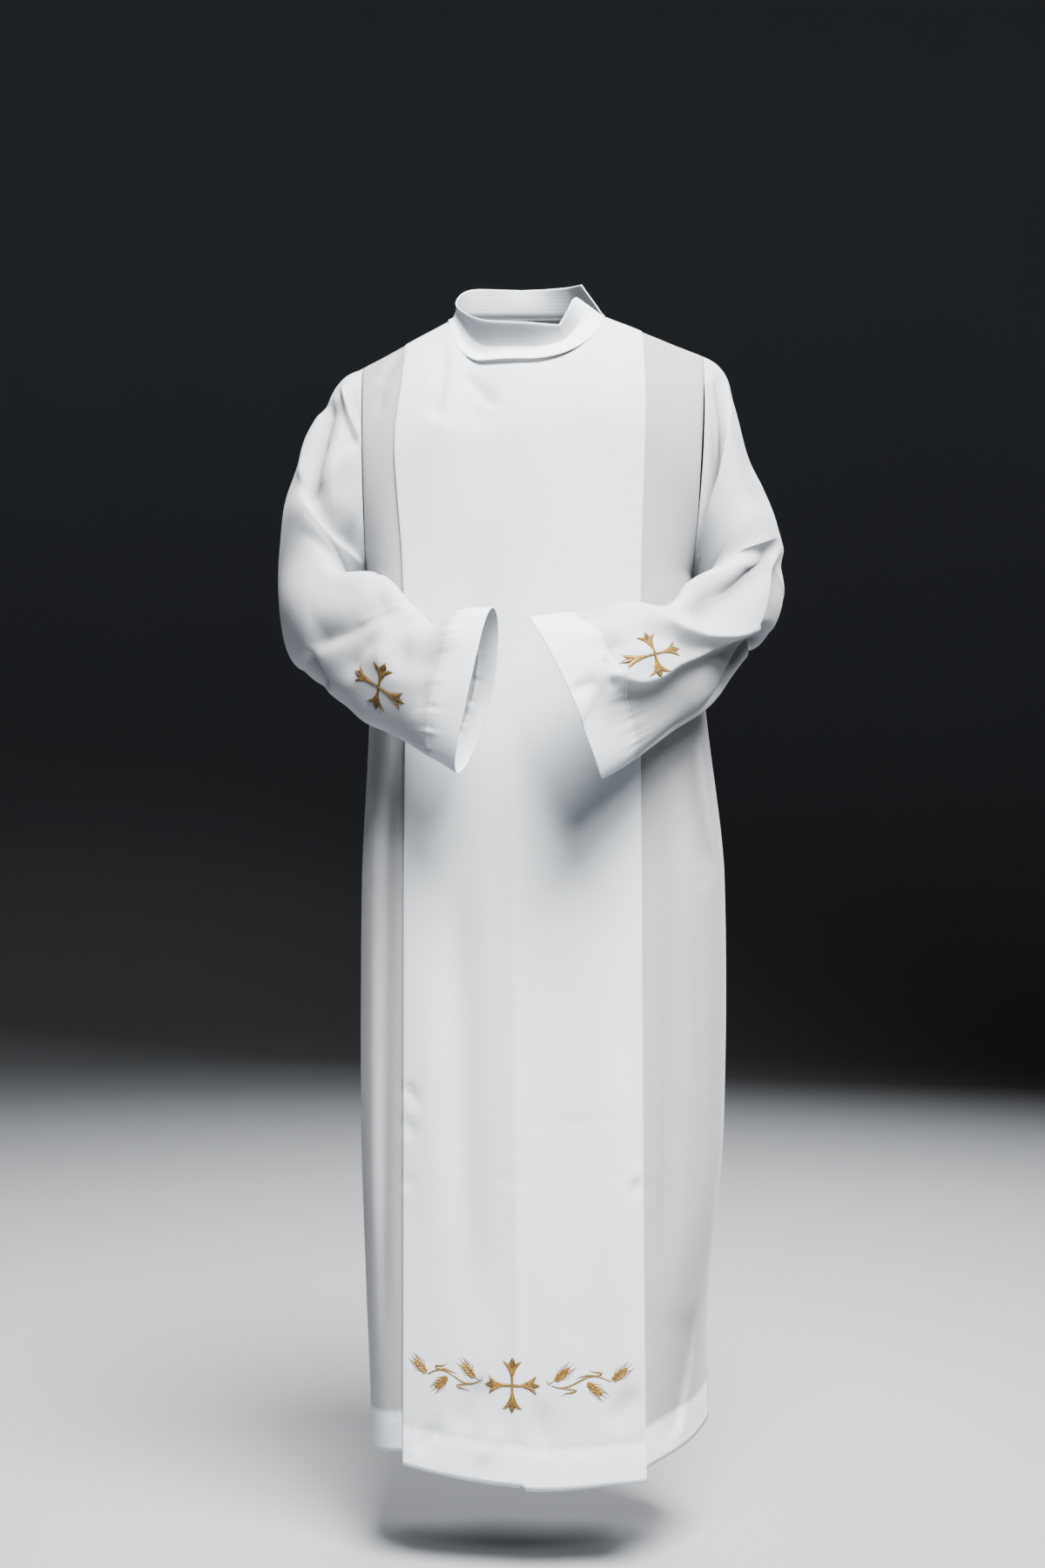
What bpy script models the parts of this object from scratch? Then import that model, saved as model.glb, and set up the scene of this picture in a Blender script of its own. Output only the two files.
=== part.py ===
"""Alb: a full-length white liturgical robe in its worn, hollow shape.

Every piece of cloth is a thin wall lofted through sections: a front with one
wide box pleat, a plain back, two set-in sleeves, and an open stand collar.
Metres, +Z up, the front faces -Y and +X is the wearer's left. The origin is
the middle of the neckline at shoulder level.
"""
import math
from collections import namedtuple

import bmesh
import bpy
from mathutils import Vector
from mathutils.bvhtree import BVHTree

# Cloth thicknesses and clearances
CLOTH_WALL = 0.0012
HEM_WALL = 0.0016
COLLAR_WALL = 0.0020
SEAM_GAP = 0.0008
SLEEVE_GAP = 0.0014
PLEAT_PITCH = 0.0022
HEM_DEPTH = 0.045

# Neckline: an oval that dips at the front
NECK_CENTRE_X = 0.0065
NECK_HALF_WIDTH = 0.0975
NECK_FRONT_REACH = 0.085
NECK_BACK_REACH = 0.070
NECK_Z_LEFT = 0.001
NECK_Z_RIGHT = -0.004
NECK_Z_FRONT = -0.070
NECK_Z_BACK = 0.010
NECK_DIP_SPAN = 0.85
NECK_LEFT_DIP_POWER = 1.3
NECK_STEP = 18
NECK_COLUMNS = 90 // NECK_STEP
NECK_SHARE = 0.64

# Armholes: where the sleeves are set in, right then left
UNDERARM_Z = -0.330
ARMHOLE_FRONT_REACH = 0.078
ARMHOLE_BACK_REACH = 0.088
ARMHOLE_TIP = {-1: Vector((-0.203, 0.0, -0.066)), 1: Vector((0.230, 0.0, -0.051))}
ARMHOLE_BASE = {-1: Vector((-0.198, 0.0, UNDERARM_Z)), 1: Vector((0.216, 0.0, UNDERARM_Z))}

# Grid of the body pieces
ARMHOLE_ROWS = 8
SKIRT_ROWS = 11
LAST_ROW = ARMHOLE_ROWS + SKIRT_ROWS + 1
SIDE_COLUMNS = 6
FOLD_STEPS = 3
FOLD_EDGE = 0.992
FOLD_MIDDLE = 0.030
LAYER_TRIM = 0.002
SHOULDER_ROUND = 0.160
CHEST_ROUND = 0.100
NECK_SLOPE = 0.60
SIDE_FULLNESS = 0.85
HEM_FULLNESS = {-1: 0.80, 1: 0.35}

# Soft folds: depth, drop below the shoulders where they start, length of growth
BACK_FOLD_DEPTH = 0.008
BACK_FOLD_START = 0.25
BACK_FOLD_GROWTH = 0.70
SIDE_FOLD_DEPTH = 0.005
SIDE_FOLD_START = 0.35
SIDE_FOLD_GROWTH = 0.50
FLARE_START = 1.10
FLARE_GROWTH = 0.30

# Hem heights: side seams, side fronts, back, and the panel's a + b p + c p^2
HEM_Z_SEAM = {-1: -1.433, 1: -1.406}
HEM_Z_SIDE = -1.431
HEM_Z_BACK = -1.436
PANEL_HEM = (-1.450, -0.0065, 0.010)
PLEAT_PEEP = 0.0025

BodySection = namedtuple(
    "BodySection",
    "z right_x left_x panel_right panel_left front_depth front_sag front_skew back_depth back_sag",
)
BODY_SECTIONS = (
    BodySection(0.010, -0.203, 0.230, -0.149, 0.152, 0.110, 0.012, 0.000, 0.095, 0.012),
    BodySection(-0.100, -0.202, 0.226, -0.158, 0.154, 0.114, 0.014, 0.000, 0.115, 0.016),
    BodySection(-0.170, -0.200, 0.222, -0.160, 0.152, 0.116, 0.016, 0.000, 0.125, 0.022),
    BodySection(-0.330, -0.198, 0.216, -0.149, 0.147, 0.118, 0.018, 0.000, 0.130, 0.028),
    BodySection(-0.520, -0.196, 0.236, -0.146, 0.146, 0.124, 0.018, 0.002, 0.130, 0.028),
    BodySection(-0.710, -0.205, 0.258, -0.147, 0.147, 0.134, 0.018, 0.005, 0.145, 0.028),
    BodySection(-1.040, -0.206, 0.257, -0.147, 0.148, 0.148, 0.018, 0.009, 0.155, 0.026),
    BodySection(-1.260, -0.199, 0.236, -0.147, 0.149, 0.158, 0.019, 0.012, 0.155, 0.024),
    BodySection(-1.380, -0.194, 0.237, -0.147, 0.150, 0.163, 0.020, 0.014, 0.155, 0.022),
    BodySection(-1.460, -0.191, 0.238, -0.147, 0.151, 0.165, 0.021, 0.014, 0.155, 0.022),
)

# Sleeve rings in millimetres. A shoulder ring is given by its top, front,
# bottom and back points, and an arm ring by its upper, outer, lower and inner.
SleeveRing = namedtuple("SleeveRing", "kind a b c d")
SLEEVE_RINGS = {
    -1: (
        SleeveRing("shoulder", (-230, 0, -80), (-220, -88, -208), (-207, 0, -340), (-222, 96, -212)),
        SleeveRing("shoulder", (-261, 0, -132), (-236, -94, -230), (-210, 0, -348), (-242, 102, -250)),
        SleeveRing("shoulder", (-284, 0, -190), (-248, -97, -256), (-211, 0, -356), (-256, 104, -290)),
        SleeveRing("shoulder", (-304, 0, -252), (-258, -98, -276), (-211, 0, -362), (-266, 100, -340)),
        SleeveRing("arm", (-226, -88, -330), (-297, -62, -305), (-294, 50, -426), (-212, 12, -392)),
        SleeveRing("arm", (-214, -112, -336), (-286, -96, -368), (-274, -10, -456), (-208, -36, -404)),
        SleeveRing("arm", (-167, -160, -346), (-224, -172, -424), (-212, -112, -502), (-168, -108, -424)),
        SleeveRing("arm", (-131, -200, -390), (-176, -214, -462), (-159, -165, -534), (-120, -152, -462)),
        SleeveRing("arm", (-100, -225, -407), (-139, -245, -484), (-118, -203, -559), (-82, -183, -482)),
        SleeveRing("arm", (-70, -240, -391), (-104, -268, -478), (-104, -225, -568), (-58, -200, -478)),
        SleeveRing("arm", (-34, -250, -390), (-62, -280, -482), (-77, -240, -584), (-37, -212, -490)),
    ),
    1: (
        SleeveRing("shoulder", (250, 0, -67), (239, -90, -200), (225, 0, -340), (242, 96, -208)),
        SleeveRing("shoulder", (276, 0, -122), (252, -95, -228), (227, 0, -348), (258, 102, -246)),
        SleeveRing("shoulder", (294, 0, -182), (264, -98, -255), (228, 0, -356), (270, 105, -290)),
        SleeveRing("shoulder", (318, 0, -250), (276, -99, -276), (229, 0, -362), (284, 102, -340)),
        SleeveRing("arm", (248, -88, -330), (326, -50, -305), (314, 50, -398), (234, 14, -386)),
        SleeveRing("arm", (240, -112, -338), (314, -92, -335), (302, -14, -430), (234, -36, -404)),
        SleeveRing("arm", (215, -142, -352), (270, -152, -405), (258, -92, -474), (209, -88, -422)),
        SleeveRing("arm", (176, -172, -380), (232, -190, -444), (216, -140, -513), (164, -130, -446)),
        SleeveRing("arm", (126, -204, -379), (184, -226, -458), (176, -180, -538), (122, -166, -458)),
        SleeveRing("arm", (62, -240, -392), (124, -262, -476), (134, -216, -568), (80, -196, -474)),
        SleeveRing("arm", (8, -266, -400), (56, -292, -492), (95, -248, -592), (56, -226, -486)),
    ),
}
RING_POINTS = 4 * ARMHOLE_ROWS
RING_SPANS = (2, 2, 2, 2, 2, 2, 2, 2, 1, 1, 1)
SHOULDER_TURN = 135

# Collar: its top edge by turn round the neck, from the front end at the left
# shoulder, by the front, to the back end. Millimetres.
CollarPoint = namedtuple("CollarPoint", "turn top_x top_y top_z waist")
COLLAR_POINTS = (
    CollarPoint(0, 70, -8, 24, 0),
    CollarPoint(24, 62, -34, 14, -1),
    CollarPoint(48, 46, -62, -20, -2),
    CollarPoint(90, 4, -78, -21, -3),
    CollarPoint(130, -46, -67, -16, -3),
    CollarPoint(155, -73, -40, 0, -1),
    CollarPoint(180, -82, -2, 20, 0),
    CollarPoint(215, -66, 34, 42, 0),
    CollarPoint(270, 0, 62, 47, 0),
    CollarPoint(320, 52, 42, 46, 0),
    CollarPoint(360, 76, 6, 43, 0),
)
COLLAR_STEPS = 40
COLLAR_ROWS = 4
COLLAR_LIFT = 0.0022
COLLAR_OPENING = 1.5

# Embroidery, millimetres: raised pads of gold thread
MOTIF_WALL = 0.0008
MOTIF_GAP = 0.0008
CROSS_SIZE = 66.0
ArmRow = namedtuple("ArmRow", "side_reach middle_reach half_width")
CROSS_ARM = (
    ArmRow(0.18, 0.18, 0.18),
    ArmRow(0.42, 0.42, 0.12),
    ArmRow(0.64, 0.66, 0.14),
    ArmRow(0.78, 0.80, 0.26),
    ArmRow(0.92, 0.84, 0.44),
)
Ear = namedtuple("Ear", "x z lean length")
WHEAT_EARS = (
    Ear(51.0, 5.0, 44.0, 23.0),
    Ear(89.0, 4.0, -42.0, 23.0),
    Ear(118.5, 5.0, 40.0, 23.0),
)
EAR_WIDTHS = (1.2, 6.0, 8.0, 6.5, 3.0, 1.0)
STEM_LEVEL = 4.2
STEM_WAVE = 6.7
STEM_START = 42.0
STEM_END = 116.0
STEM_WIDTH = 2.2
STEM_STEPS = 18
SPRAY_SPREAD = {-1: 0.90, 1: 1.00}
SPRAY_TILT = {-1: 0.04, 1: 0.0}
HEM_MOTIF = Vector((-0.0127, 0.0, -1.328))
SLEEVE_MOTIFS = {-1: Vector((-0.172, 0.0, -0.481)), 1: Vector((0.157, 0.0, -0.443))}
SLEEVE_MOTIF_ALONG = {-1: Vector((0.60, -0.60, -0.35)), 1: Vector((-0.62, -0.60, -0.19))}

COLORS = {
    "cloth": (0.80, 0.80, 0.79, 1.0),
    "gold": (0.50, 0.34, 0.10, 1.0),
}


def clear_scene():
    """Remove every object already in the file."""
    for old in list(bpy.data.objects):
        bpy.data.objects.remove(old, do_unlink=True)


def ease(t):
    """Smooth step from 0 to 1."""
    t = min(max(t, 0.0), 1.0)
    return t * t * (3.0 - 2.0 * t)


def round_over(t):
    """Quarter ellipse from 0 to 1: steep at the start, level at the end."""
    t = min(max(t, 0.0), 1.0)
    return math.sqrt(1.0 - (1.0 - t) ** 2)


def hermite(before, start, end, after, t):
    """Catmull-Rom value between start and end."""
    slope_in = (end - before) * 0.5
    slope_out = (after - start) * 0.5
    t2 = t * t
    t3 = t2 * t
    value = start * (2 * t3 - 3 * t2 + 1) + end * (3 * t2 - 2 * t3)
    return value + slope_in * (t3 - 2 * t2 + t) + slope_out * (t3 - t2)


def shoulder_round(t, p):
    """Forward share of the body at share t of its fall: sloped at the neck."""
    t = min(max(t, 0.0), 1.0)
    slope = NECK_SLOPE * (1.0 - ease((abs(p) - NECK_SHARE) / (1.0 - NECK_SHARE)))
    return round_over(t) * (1.0 - slope) + t * (2.0 - t) * slope


def body_section(z):
    """Sizes of the body at a height, eased between the rows of its table."""
    rows = BODY_SECTIONS
    z = min(max(z, rows[-1].z), rows[0].z)
    upper = 0
    while upper < len(rows) - 2 and z < rows[upper + 1].z:
        upper += 1
    t = (rows[upper].z - z) / (rows[upper].z - rows[upper + 1].z)
    before = rows[max(upper - 1, 0)]
    after = rows[min(upper + 2, len(rows) - 1)]
    values = [hermite(a, b, c, d, t) for a, b, c, d in zip(before, rows[upper], rows[upper + 1], after)]
    return BodySection(*values)


def neck_point(degrees):
    """Neckline point: 0 at the wearer's left shoulder, 90 at the front."""
    across = math.cos(math.radians(degrees))
    forward = math.sin(math.radians(degrees))
    side_z = NECK_Z_RIGHT + (NECK_Z_LEFT - NECK_Z_RIGHT) * (1.0 + across) / 2.0
    x = NECK_CENTRE_X + NECK_HALF_WIDTH * across
    if forward > 0.0:
        dip = ease(forward / NECK_DIP_SPAN)
        if across > 0.0:
            dip = forward ** NECK_LEFT_DIP_POWER
        return Vector((x, -NECK_FRONT_REACH * forward, side_z + (NECK_Z_FRONT - side_z) * dip))
    return Vector((x, -NECK_BACK_REACH * forward, side_z - (NECK_Z_BACK - side_z) * forward))


def armhole_point(side, facing, share):
    """Armhole seam from the shoulder tip (share 0) to the underarm (share 1)."""
    turn = math.pi * share
    reach = ARMHOLE_FRONT_REACH if facing < 0 else ARMHOLE_BACK_REACH
    tip = ARMHOLE_TIP[side]
    base = ARMHOLE_BASE[side]
    drop = (1.0 - math.cos(turn)) / 2.0
    point = tip.lerp(base, drop)
    point.y = facing * max(reach * math.sin(turn), SEAM_GAP / 2.0)
    return point


def armhole_edge(side, facing, row):
    """Armhole seam as the body's straight-edged grid has it, at any row."""
    lower = min(int(row), ARMHOLE_ROWS - 1)
    start = armhole_point(side, facing, lower / ARMHOLE_ROWS)
    end = armhole_point(side, facing, (lower + 1) / ARMHOLE_ROWS)
    return start.lerp(end, row - lower)


def neck_edge(degrees):
    """Neckline as the body's straight-edged grid has it, at any turn."""
    lower = min(int(degrees / NECK_STEP), 360 // NECK_STEP - 1)
    start = neck_point(lower * NECK_STEP)
    end = neck_point((lower + 1) * NECK_STEP)
    return start.lerp(end, degrees / NECK_STEP - lower)


def seam_point(p):
    """Top edge of a body piece at share p across it: neckline or shoulder."""
    side = -1 if p < 0 else 1
    neck = neck_point(0 if side > 0 else 180)
    if abs(p) <= NECK_SHARE:
        return neck_point(90 - math.degrees(math.asin(p / NECK_SHARE)))
    edge_x = body_section(0.0).panel_left if side > 0 else body_section(0.0).panel_right
    x = neck.x + (edge_x - neck.x) * (abs(p) - NECK_SHARE) / (1.0 - NECK_SHARE)
    tip = ARMHOLE_TIP[side]
    share = (x - neck.x) / (tip.x - neck.x)
    return neck.lerp(tip, share)


def row_height(row, top_z, hem_z):
    """Height of a grid row on a line that runs from top_z to hem_z."""
    if row <= ARMHOLE_ROWS:
        return top_z + (UNDERARM_Z - top_z) * (row / ARMHOLE_ROWS) ** 1.5
    if row < LAST_ROW:
        share = (row - ARMHOLE_ROWS) / SKIRT_ROWS
        return UNDERARM_Z + (hem_z + HEM_DEPTH - UNDERARM_Z) * share
    return hem_z


def body_point(facing, p, top_trim, z):
    """Point of the body surface at share p across it and height z."""
    top = seam_point(p)
    if facing > 0:
        top = Vector((top.x, max(top.y, 0.0), top.z))
        if abs(p) < NECK_SHARE:
            top = neck_point(270 + math.degrees(math.asin(p / NECK_SHARE)))
    top.z -= top_trim
    z = min(z, top.z)
    section = body_section(z)
    edge = section.panel_left if p > 0 else -section.panel_right
    low_x = p * edge
    if facing < 0:
        depth = section.front_depth - section.front_sag * p * p + section.front_skew * p
    else:
        depth = section.back_depth - section.back_sag * p * p + back_fold(p, z)
    neckness = math.sqrt(max(0.0, 1.0 - (p / NECK_SHARE) ** 2))
    fall = SHOULDER_ROUND + (CHEST_ROUND - SHOULDER_ROUND) * neckness
    share = (top.z - z) / fall
    start_y = facing * max(abs(top.y), SEAM_GAP / 2.0)
    y = start_y + (facing * depth - start_y) * shoulder_round(share, p)
    x = top.x + (low_x - top.x) * ease(share)
    return Vector((x, y, z))


def back_fold(p, z):
    """Soft upright folds of the back, fading out towards the shoulders."""
    fade = ease((-z - BACK_FOLD_START) / BACK_FOLD_GROWTH)
    wave = math.cos(2.6 * math.pi * p + 0.5) + 0.5 * math.cos(4.7 * math.pi * p - 0.8)
    return BACK_FOLD_DEPTH * fade * wave


def side_fold(facing, w, z):
    """Soft fold down each side piece, fading out towards the armhole."""
    fade = ease((-z - SIDE_FOLD_START) / SIDE_FOLD_GROWTH)
    return facing * SIDE_FOLD_DEPTH * fade * math.sin(2.0 * math.pi * w) * w


def layer_direction(p, z):
    """Outward direction in which the pleat's layers lie on each other."""
    share = min(max((seam_point(p).z - z) / SHOULDER_ROUND, 0.0), 1.0)
    turn = math.acos(1.0 - share)
    return Vector((0.0, -math.sin(turn), math.cos(turn)))


def panel_hem(p):
    """Height of the front panel's hem across it."""
    level, slope, curve = PANEL_HEM
    return level + slope * p + curve * p * p


def pleat_point(p, row, layer):
    """Front cloth at one of the pleat's three layers, 0 outermost."""
    hem_z = panel_hem(p)
    if layer > 0:
        hem_z -= PLEAT_PEEP * (1.0 - abs(p))
    if layer == 2:
        hem_z += (HEM_Z_SIDE - panel_hem(1.0)) * abs(p)
    trim = LAYER_TRIM * layer
    z = row_height(row, seam_point(p).z - trim, hem_z)
    point = body_point(-1, p, trim, z)
    return point - layer_direction(p, z) * (PLEAT_PITCH * layer)


def fold_points(p, row, layer, outward):
    """Rounded edge of a fold that joins one pleat layer to the next one in."""
    upper = pleat_point(p, row, layer)
    lower = pleat_point(p, row, layer + 1)
    step_p = 0.01
    across = (pleat_point(p + step_p, row, layer) - pleat_point(p - step_p, row, layer)).normalized()
    reach = across * outward * (upper - lower).length / 2.0
    middle = (upper + lower) / 2.0
    points = []
    for step in range(FOLD_STEPS + 1):
        turn = math.pi * step / FOLD_STEPS
        points.append(middle + (upper - middle) * math.cos(turn) + reach * math.sin(turn))
    return points


def side_points(side, facing, row, inner):
    """Cloth between the armhole or side seam and the edge point inner."""
    if row <= ARMHOLE_ROWS:
        outer = armhole_point(side, facing, row / ARMHOLE_ROWS)
        fullness = SIDE_FULLNESS * ease(row / ARMHOLE_ROWS)
    else:
        z = row_height(row, UNDERARM_Z, HEM_Z_SEAM[side])
        section = body_section(z)
        x = section.left_x if side > 0 else section.right_x
        outer = Vector((x, facing * SEAM_GAP / 2.0, z))
        flare = ease((-z - FLARE_START) / FLARE_GROWTH) if facing < 0 else 0.0
        fullness = SIDE_FULLNESS + (HEM_FULLNESS[side] - SIDE_FULLNESS) * flare
    corner = Vector((outer.x, inner.y, (outer.z + inner.z) / 2.0))
    control = ((outer + inner) / 2.0).lerp(corner, fullness)
    points = []
    for step in range(SIDE_COLUMNS):
        w = step / SIDE_COLUMNS
        point = outer * (1 - w) ** 2 + control * 2 * w * (1 - w) + inner * w * w
        point.y += side_fold(facing, w, point.z)
        points.append(point)
    return points


def panel_shares():
    """Shares across half of the panel, from the middle to its edge."""
    shares = [NECK_SHARE * math.sin(math.radians(NECK_STEP * k)) for k in range(NECK_COLUMNS + 1)]
    return shares + [(1.0 + NECK_SHARE) / 2.0, 1.0]


def front_row(row):
    """One row of the front, from the wearer's right side to the left."""
    half = panel_shares()
    points = []
    for side in (-1, 1):
        edge = side * FOLD_EDGE
        middle = side * FOLD_MIDDLE
        inner = [side * share for share in half if FOLD_MIDDLE < share < FOLD_EDGE]
        strip = side_points(side, -1, row, pleat_point(side, row, 2))
        strip.append(pleat_point(side, row, 2))
        strip += [pleat_point(p, row, 2) for p in reversed(inner)]
        strip += reversed(fold_points(middle, row, 1, -side))
        strip += [pleat_point(p, row, 1) for p in inner]
        strip += reversed(fold_points(edge, row, 0, side))
        strip += [pleat_point(p, row, 0) for p in reversed(inner)]
        if side < 0:
            points += strip
            points.append(pleat_point(0.0, row, 0))
        else:
            points += reversed(strip)
    return points


def back_row(row):
    """One row of the back, from the wearer's right side to the left."""
    shares = [-share for share in reversed(panel_shares())] + panel_shares()[1:]
    across = []
    for p in shares:
        top_z = body_point(1, p, 0.0, 1.0).z
        across.append(body_point(1, p, 0.0, row_height(row, top_z, HEM_Z_BACK)))
    points = side_points(-1, 1, row, across[0])
    points += across
    points += reversed(side_points(1, 1, row, across[-1]))
    return points


def ring_point(ring, turn):
    """Point of an oval through a ring's four points, turn in radians."""
    a, b, c, d = (Vector(point) / 1000.0 for point in (ring.a, ring.b, ring.c, ring.d))
    centre = (a + b + c + d) / 4.0
    along = a - centre if math.cos(turn) > 0.0 else centre - c
    across = b - centre if math.sin(turn) > 0.0 else centre - d
    return centre + along * math.cos(turn) + across * math.sin(turn)


def sleeve_rings(side):
    """Key rings of one sleeve as lists of points, armhole first."""
    turns = [360.0 * k / RING_POINTS for k in range(RING_POINTS)]
    armhole = []
    for turn in turns:
        round_arm = (SHOULDER_TURN - turn) % 360.0
        facing = -1 if round_arm <= 180.0 else 1
        share = round_arm / 180.0 if facing < 0 else (360.0 - round_arm) / 180.0
        point = armhole_edge(side, facing, share * ARMHOLE_ROWS)
        point.x += side * SLEEVE_GAP
        armhole.append(point)
    rings = [armhole]
    for ring in SLEEVE_RINGS[side]:
        start = SHOULDER_TURN if ring.kind == "shoulder" else 0
        sense = -1 if ring.kind == "shoulder" else 1
        rings.append([ring_point(ring, math.radians(start + sense * turn)) for turn in turns])
    return rings


def sleeve_sections(side):
    """All rings of one sleeve, with rows eased in between the key rings."""
    keys = sleeve_rings(side)
    sections = []
    for span, steps in enumerate(RING_SPANS):
        before = keys[max(span - 1, 0)]
        after = keys[min(span + 2, len(keys) - 1)]
        for step in range(steps):
            t = step / steps
            row = zip(before, keys[span], keys[span + 1], after)
            sections.append([hermite(a, b, c, d, t) for a, b, c, d in row])
    sections.append(keys[-1])
    return sections


def loft(sections, closed):
    """Quads between neighbouring sections that have the same point count."""
    bm = bmesh.new()
    rows = [[bm.verts.new(point) for point in section] for section in sections]
    count = len(rows[0])
    last = count if closed else count - 1
    for upper, lower in zip(rows, rows[1:]):
        for k in range(last):
            following = (k + 1) % count
            bm.faces.new((upper[k], lower[k], lower[following], upper[following]))
    return bm


def collar_sections():
    """Rows of the collar from the neckline up to its top edge."""
    reach = 360.0 - 2.0 * COLLAR_OPENING
    turns = [COLLAR_OPENING + reach * k / COLLAR_STEPS for k in range(COLLAR_STEPS + 1)]
    sections = [[] for row in range(COLLAR_ROWS + 1)]
    for turn in turns:
        index = 0
        while index < len(COLLAR_POINTS) - 2 and turn > COLLAR_POINTS[index + 1].turn:
            index += 1
        start = COLLAR_POINTS[index]
        end = COLLAR_POINTS[index + 1]
        before = COLLAR_POINTS[max(index - 1, 0)]
        after = COLLAR_POINTS[min(index + 2, len(COLLAR_POINTS) - 1)]
        t = (turn - start.turn) / (end.turn - start.turn)
        place = CollarPoint(*[hermite(a, b, c, d, t) for a, b, c, d in zip(before, start, end, after)])
        top = Vector((place.top_x, place.top_y, place.top_z)) / 1000.0
        base = neck_edge(turn)
        base.z += COLLAR_LIFT
        outward = Vector((math.cos(math.radians(turn)), -math.sin(math.radians(turn)), 0.0))
        for row, section in enumerate(sections):
            v = row / COLLAR_ROWS
            section.append(base.lerp(top, v) + outward * (place.waist / 1000.0 * math.sin(math.pi * v)))
    return sections


def cross_mesh():
    """Flat cross with split, flared ends, as a bmesh in millimetres."""
    bm = bmesh.new()
    half = CROSS_SIZE / 2.0
    for quarter in range(4):
        turn = math.radians(90.0 * quarter)
        rows = []
        for arm in CROSS_ARM:
            row = []
            for across, reach in ((-1, arm.side_reach), (0, arm.middle_reach), (1, arm.side_reach)):
                x = across * arm.half_width * half
                y = reach * half
                row.append((x * math.cos(turn) - y * math.sin(turn), x * math.sin(turn) + y * math.cos(turn)))
            rows.append(row)
        for lower, upper in zip(rows, rows[1:]):
            for k in range(2):
                corners = (lower[k], lower[k + 1], upper[k + 1], upper[k])
                bm.faces.new([bm.verts.new((x, y, 0.0)) for x, y in corners])
        side_x = -rows[0][1][1]
        side_y = rows[0][1][0]
        corners = ((0.0, 0.0), rows[0][1], rows[0][0], (side_x, side_y))
        bm.faces.new([bm.verts.new((x, y, 0.0)) for x, y in corners])
    bmesh.ops.remove_doubles(bm, verts=bm.verts, dist=0.01)
    return bm


def ribbon_mesh(path, widths):
    """Flat ribbon along a path of (x, y) points, as a bmesh in millimetres."""
    bm = bmesh.new()
    rows = []
    for k, (x, y) in enumerate(path):
        before = path[max(k - 1, 0)]
        after = path[min(k + 1, len(path) - 1)]
        along = Vector((after[0] - before[0], after[1] - before[1])).normalized()
        reach = widths[k] / 2.0
        sides = []
        for across in (-1, 0, 1):
            sides.append(bm.verts.new((x + along.y * across * reach, y - along.x * across * reach, 0.0)))
        rows.append(sides)
    for lower, upper in zip(rows, rows[1:]):
        for k in range(2):
            bm.faces.new((lower[k], lower[k + 1], upper[k + 1], upper[k]))
    return bm


def add_motif(name, bm, cloth, place, along, collection):
    """Raised embroidery: a flat shape laid on a cloth piece and moved out."""
    depsgraph = bpy.context.evaluated_depsgraph_get()
    tree = BVHTree.FromObject(cloth, depsgraph)
    origin, normal, face, distance = tree.ray_cast(Vector((place.x, -1.0, place.z)), Vector((0, 1, 0)))
    x_axis = (along - normal * along.dot(normal)).normalized()
    y_axis = normal.cross(x_axis)
    for vert in bm.verts:
        over = origin + (x_axis * vert.co.x + y_axis * vert.co.y) / 1000.0 + normal * 0.05
        hit, hit_normal, face, distance = tree.ray_cast(over, -normal)
        vert.co = hit + normal * (MOTIF_GAP + MOTIF_WALL / 2.0)
    mesh = bpy.data.meshes.new(name)
    bm.to_mesh(mesh)
    bm.free()
    motif = bpy.data.objects.new(name, mesh)
    collection.objects.link(motif)
    mesh.materials.append(material(name, 0.45, 0.6))
    solid = motif.modifiers.new("wall", "SOLIDIFY")
    solid.offset = 0.0
    solid.thickness = MOTIF_WALL
    return motif


def material(name, roughness, metallic):
    """Principled material with a plain colour."""
    made = bpy.data.materials.new(name)
    made.use_nodes = True
    shader = made.node_tree.nodes["Principled BSDF"]
    shader.inputs["Base Color"].default_value = COLORS["gold" if metallic else "cloth"]
    shader.inputs["Roughness"].default_value = roughness
    shader.inputs["Metallic"].default_value = metallic
    return made


def add_cloth(name, sections, closed, collection, hem_rows=1, wall=None):
    """Cloth piece: a lofted sheet given its wall, thicker along its hem."""
    bm = loft(sections, closed)
    mesh = bpy.data.meshes.new(name)
    bm.to_mesh(mesh)
    bm.free()
    mesh.shade_smooth()
    piece = bpy.data.objects.new(name, mesh)
    collection.objects.link(piece)
    mesh.materials.append(material(name, 0.85, 0.0))
    solid = piece.modifiers.new("wall", "SOLIDIFY")
    solid.offset = 0.0
    solid.thickness = wall or HEM_WALL
    if wall is None:
        count = len(sections[0])
        first_hem = count * (len(sections) - 1 - hem_rows)
        group = piece.vertex_groups.new(name="layers")
        group.add(list(range(first_hem)), CLOTH_WALL / HEM_WALL, "REPLACE")
        group.add(list(range(first_hem, count * len(sections))), 1.0, "REPLACE")
        solid.vertex_group = group.name
    return piece


def build():
    """Make the whole robe."""
    clear_scene()
    collection = bpy.data.collections.new("alb_robe")
    bpy.context.scene.collection.children.link(collection)
    rows = range(LAST_ROW + 1)
    add_cloth("front", [front_row(row) for row in rows], False, collection)
    add_cloth("back", [list(reversed(back_row(row))) for row in rows], False, collection)
    for side, name in ((-1, "sleeve_right"), (1, "sleeve_left")):
        sections = sleeve_sections(side)
        if side > 0:
            sections = [list(reversed(section)) for section in sections]
        add_cloth(name, sections, True, collection)
    add_cloth("collar", collar_sections(), False, collection, wall=COLLAR_WALL)
    add_embroidery(collection)


def spray_point(side, x, z):
    """Point of a wheat spray from the hem cross, x being its reach outwards."""
    return Vector((side * SPRAY_SPREAD[side] * x, z + SPRAY_TILT[side] * x))


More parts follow.
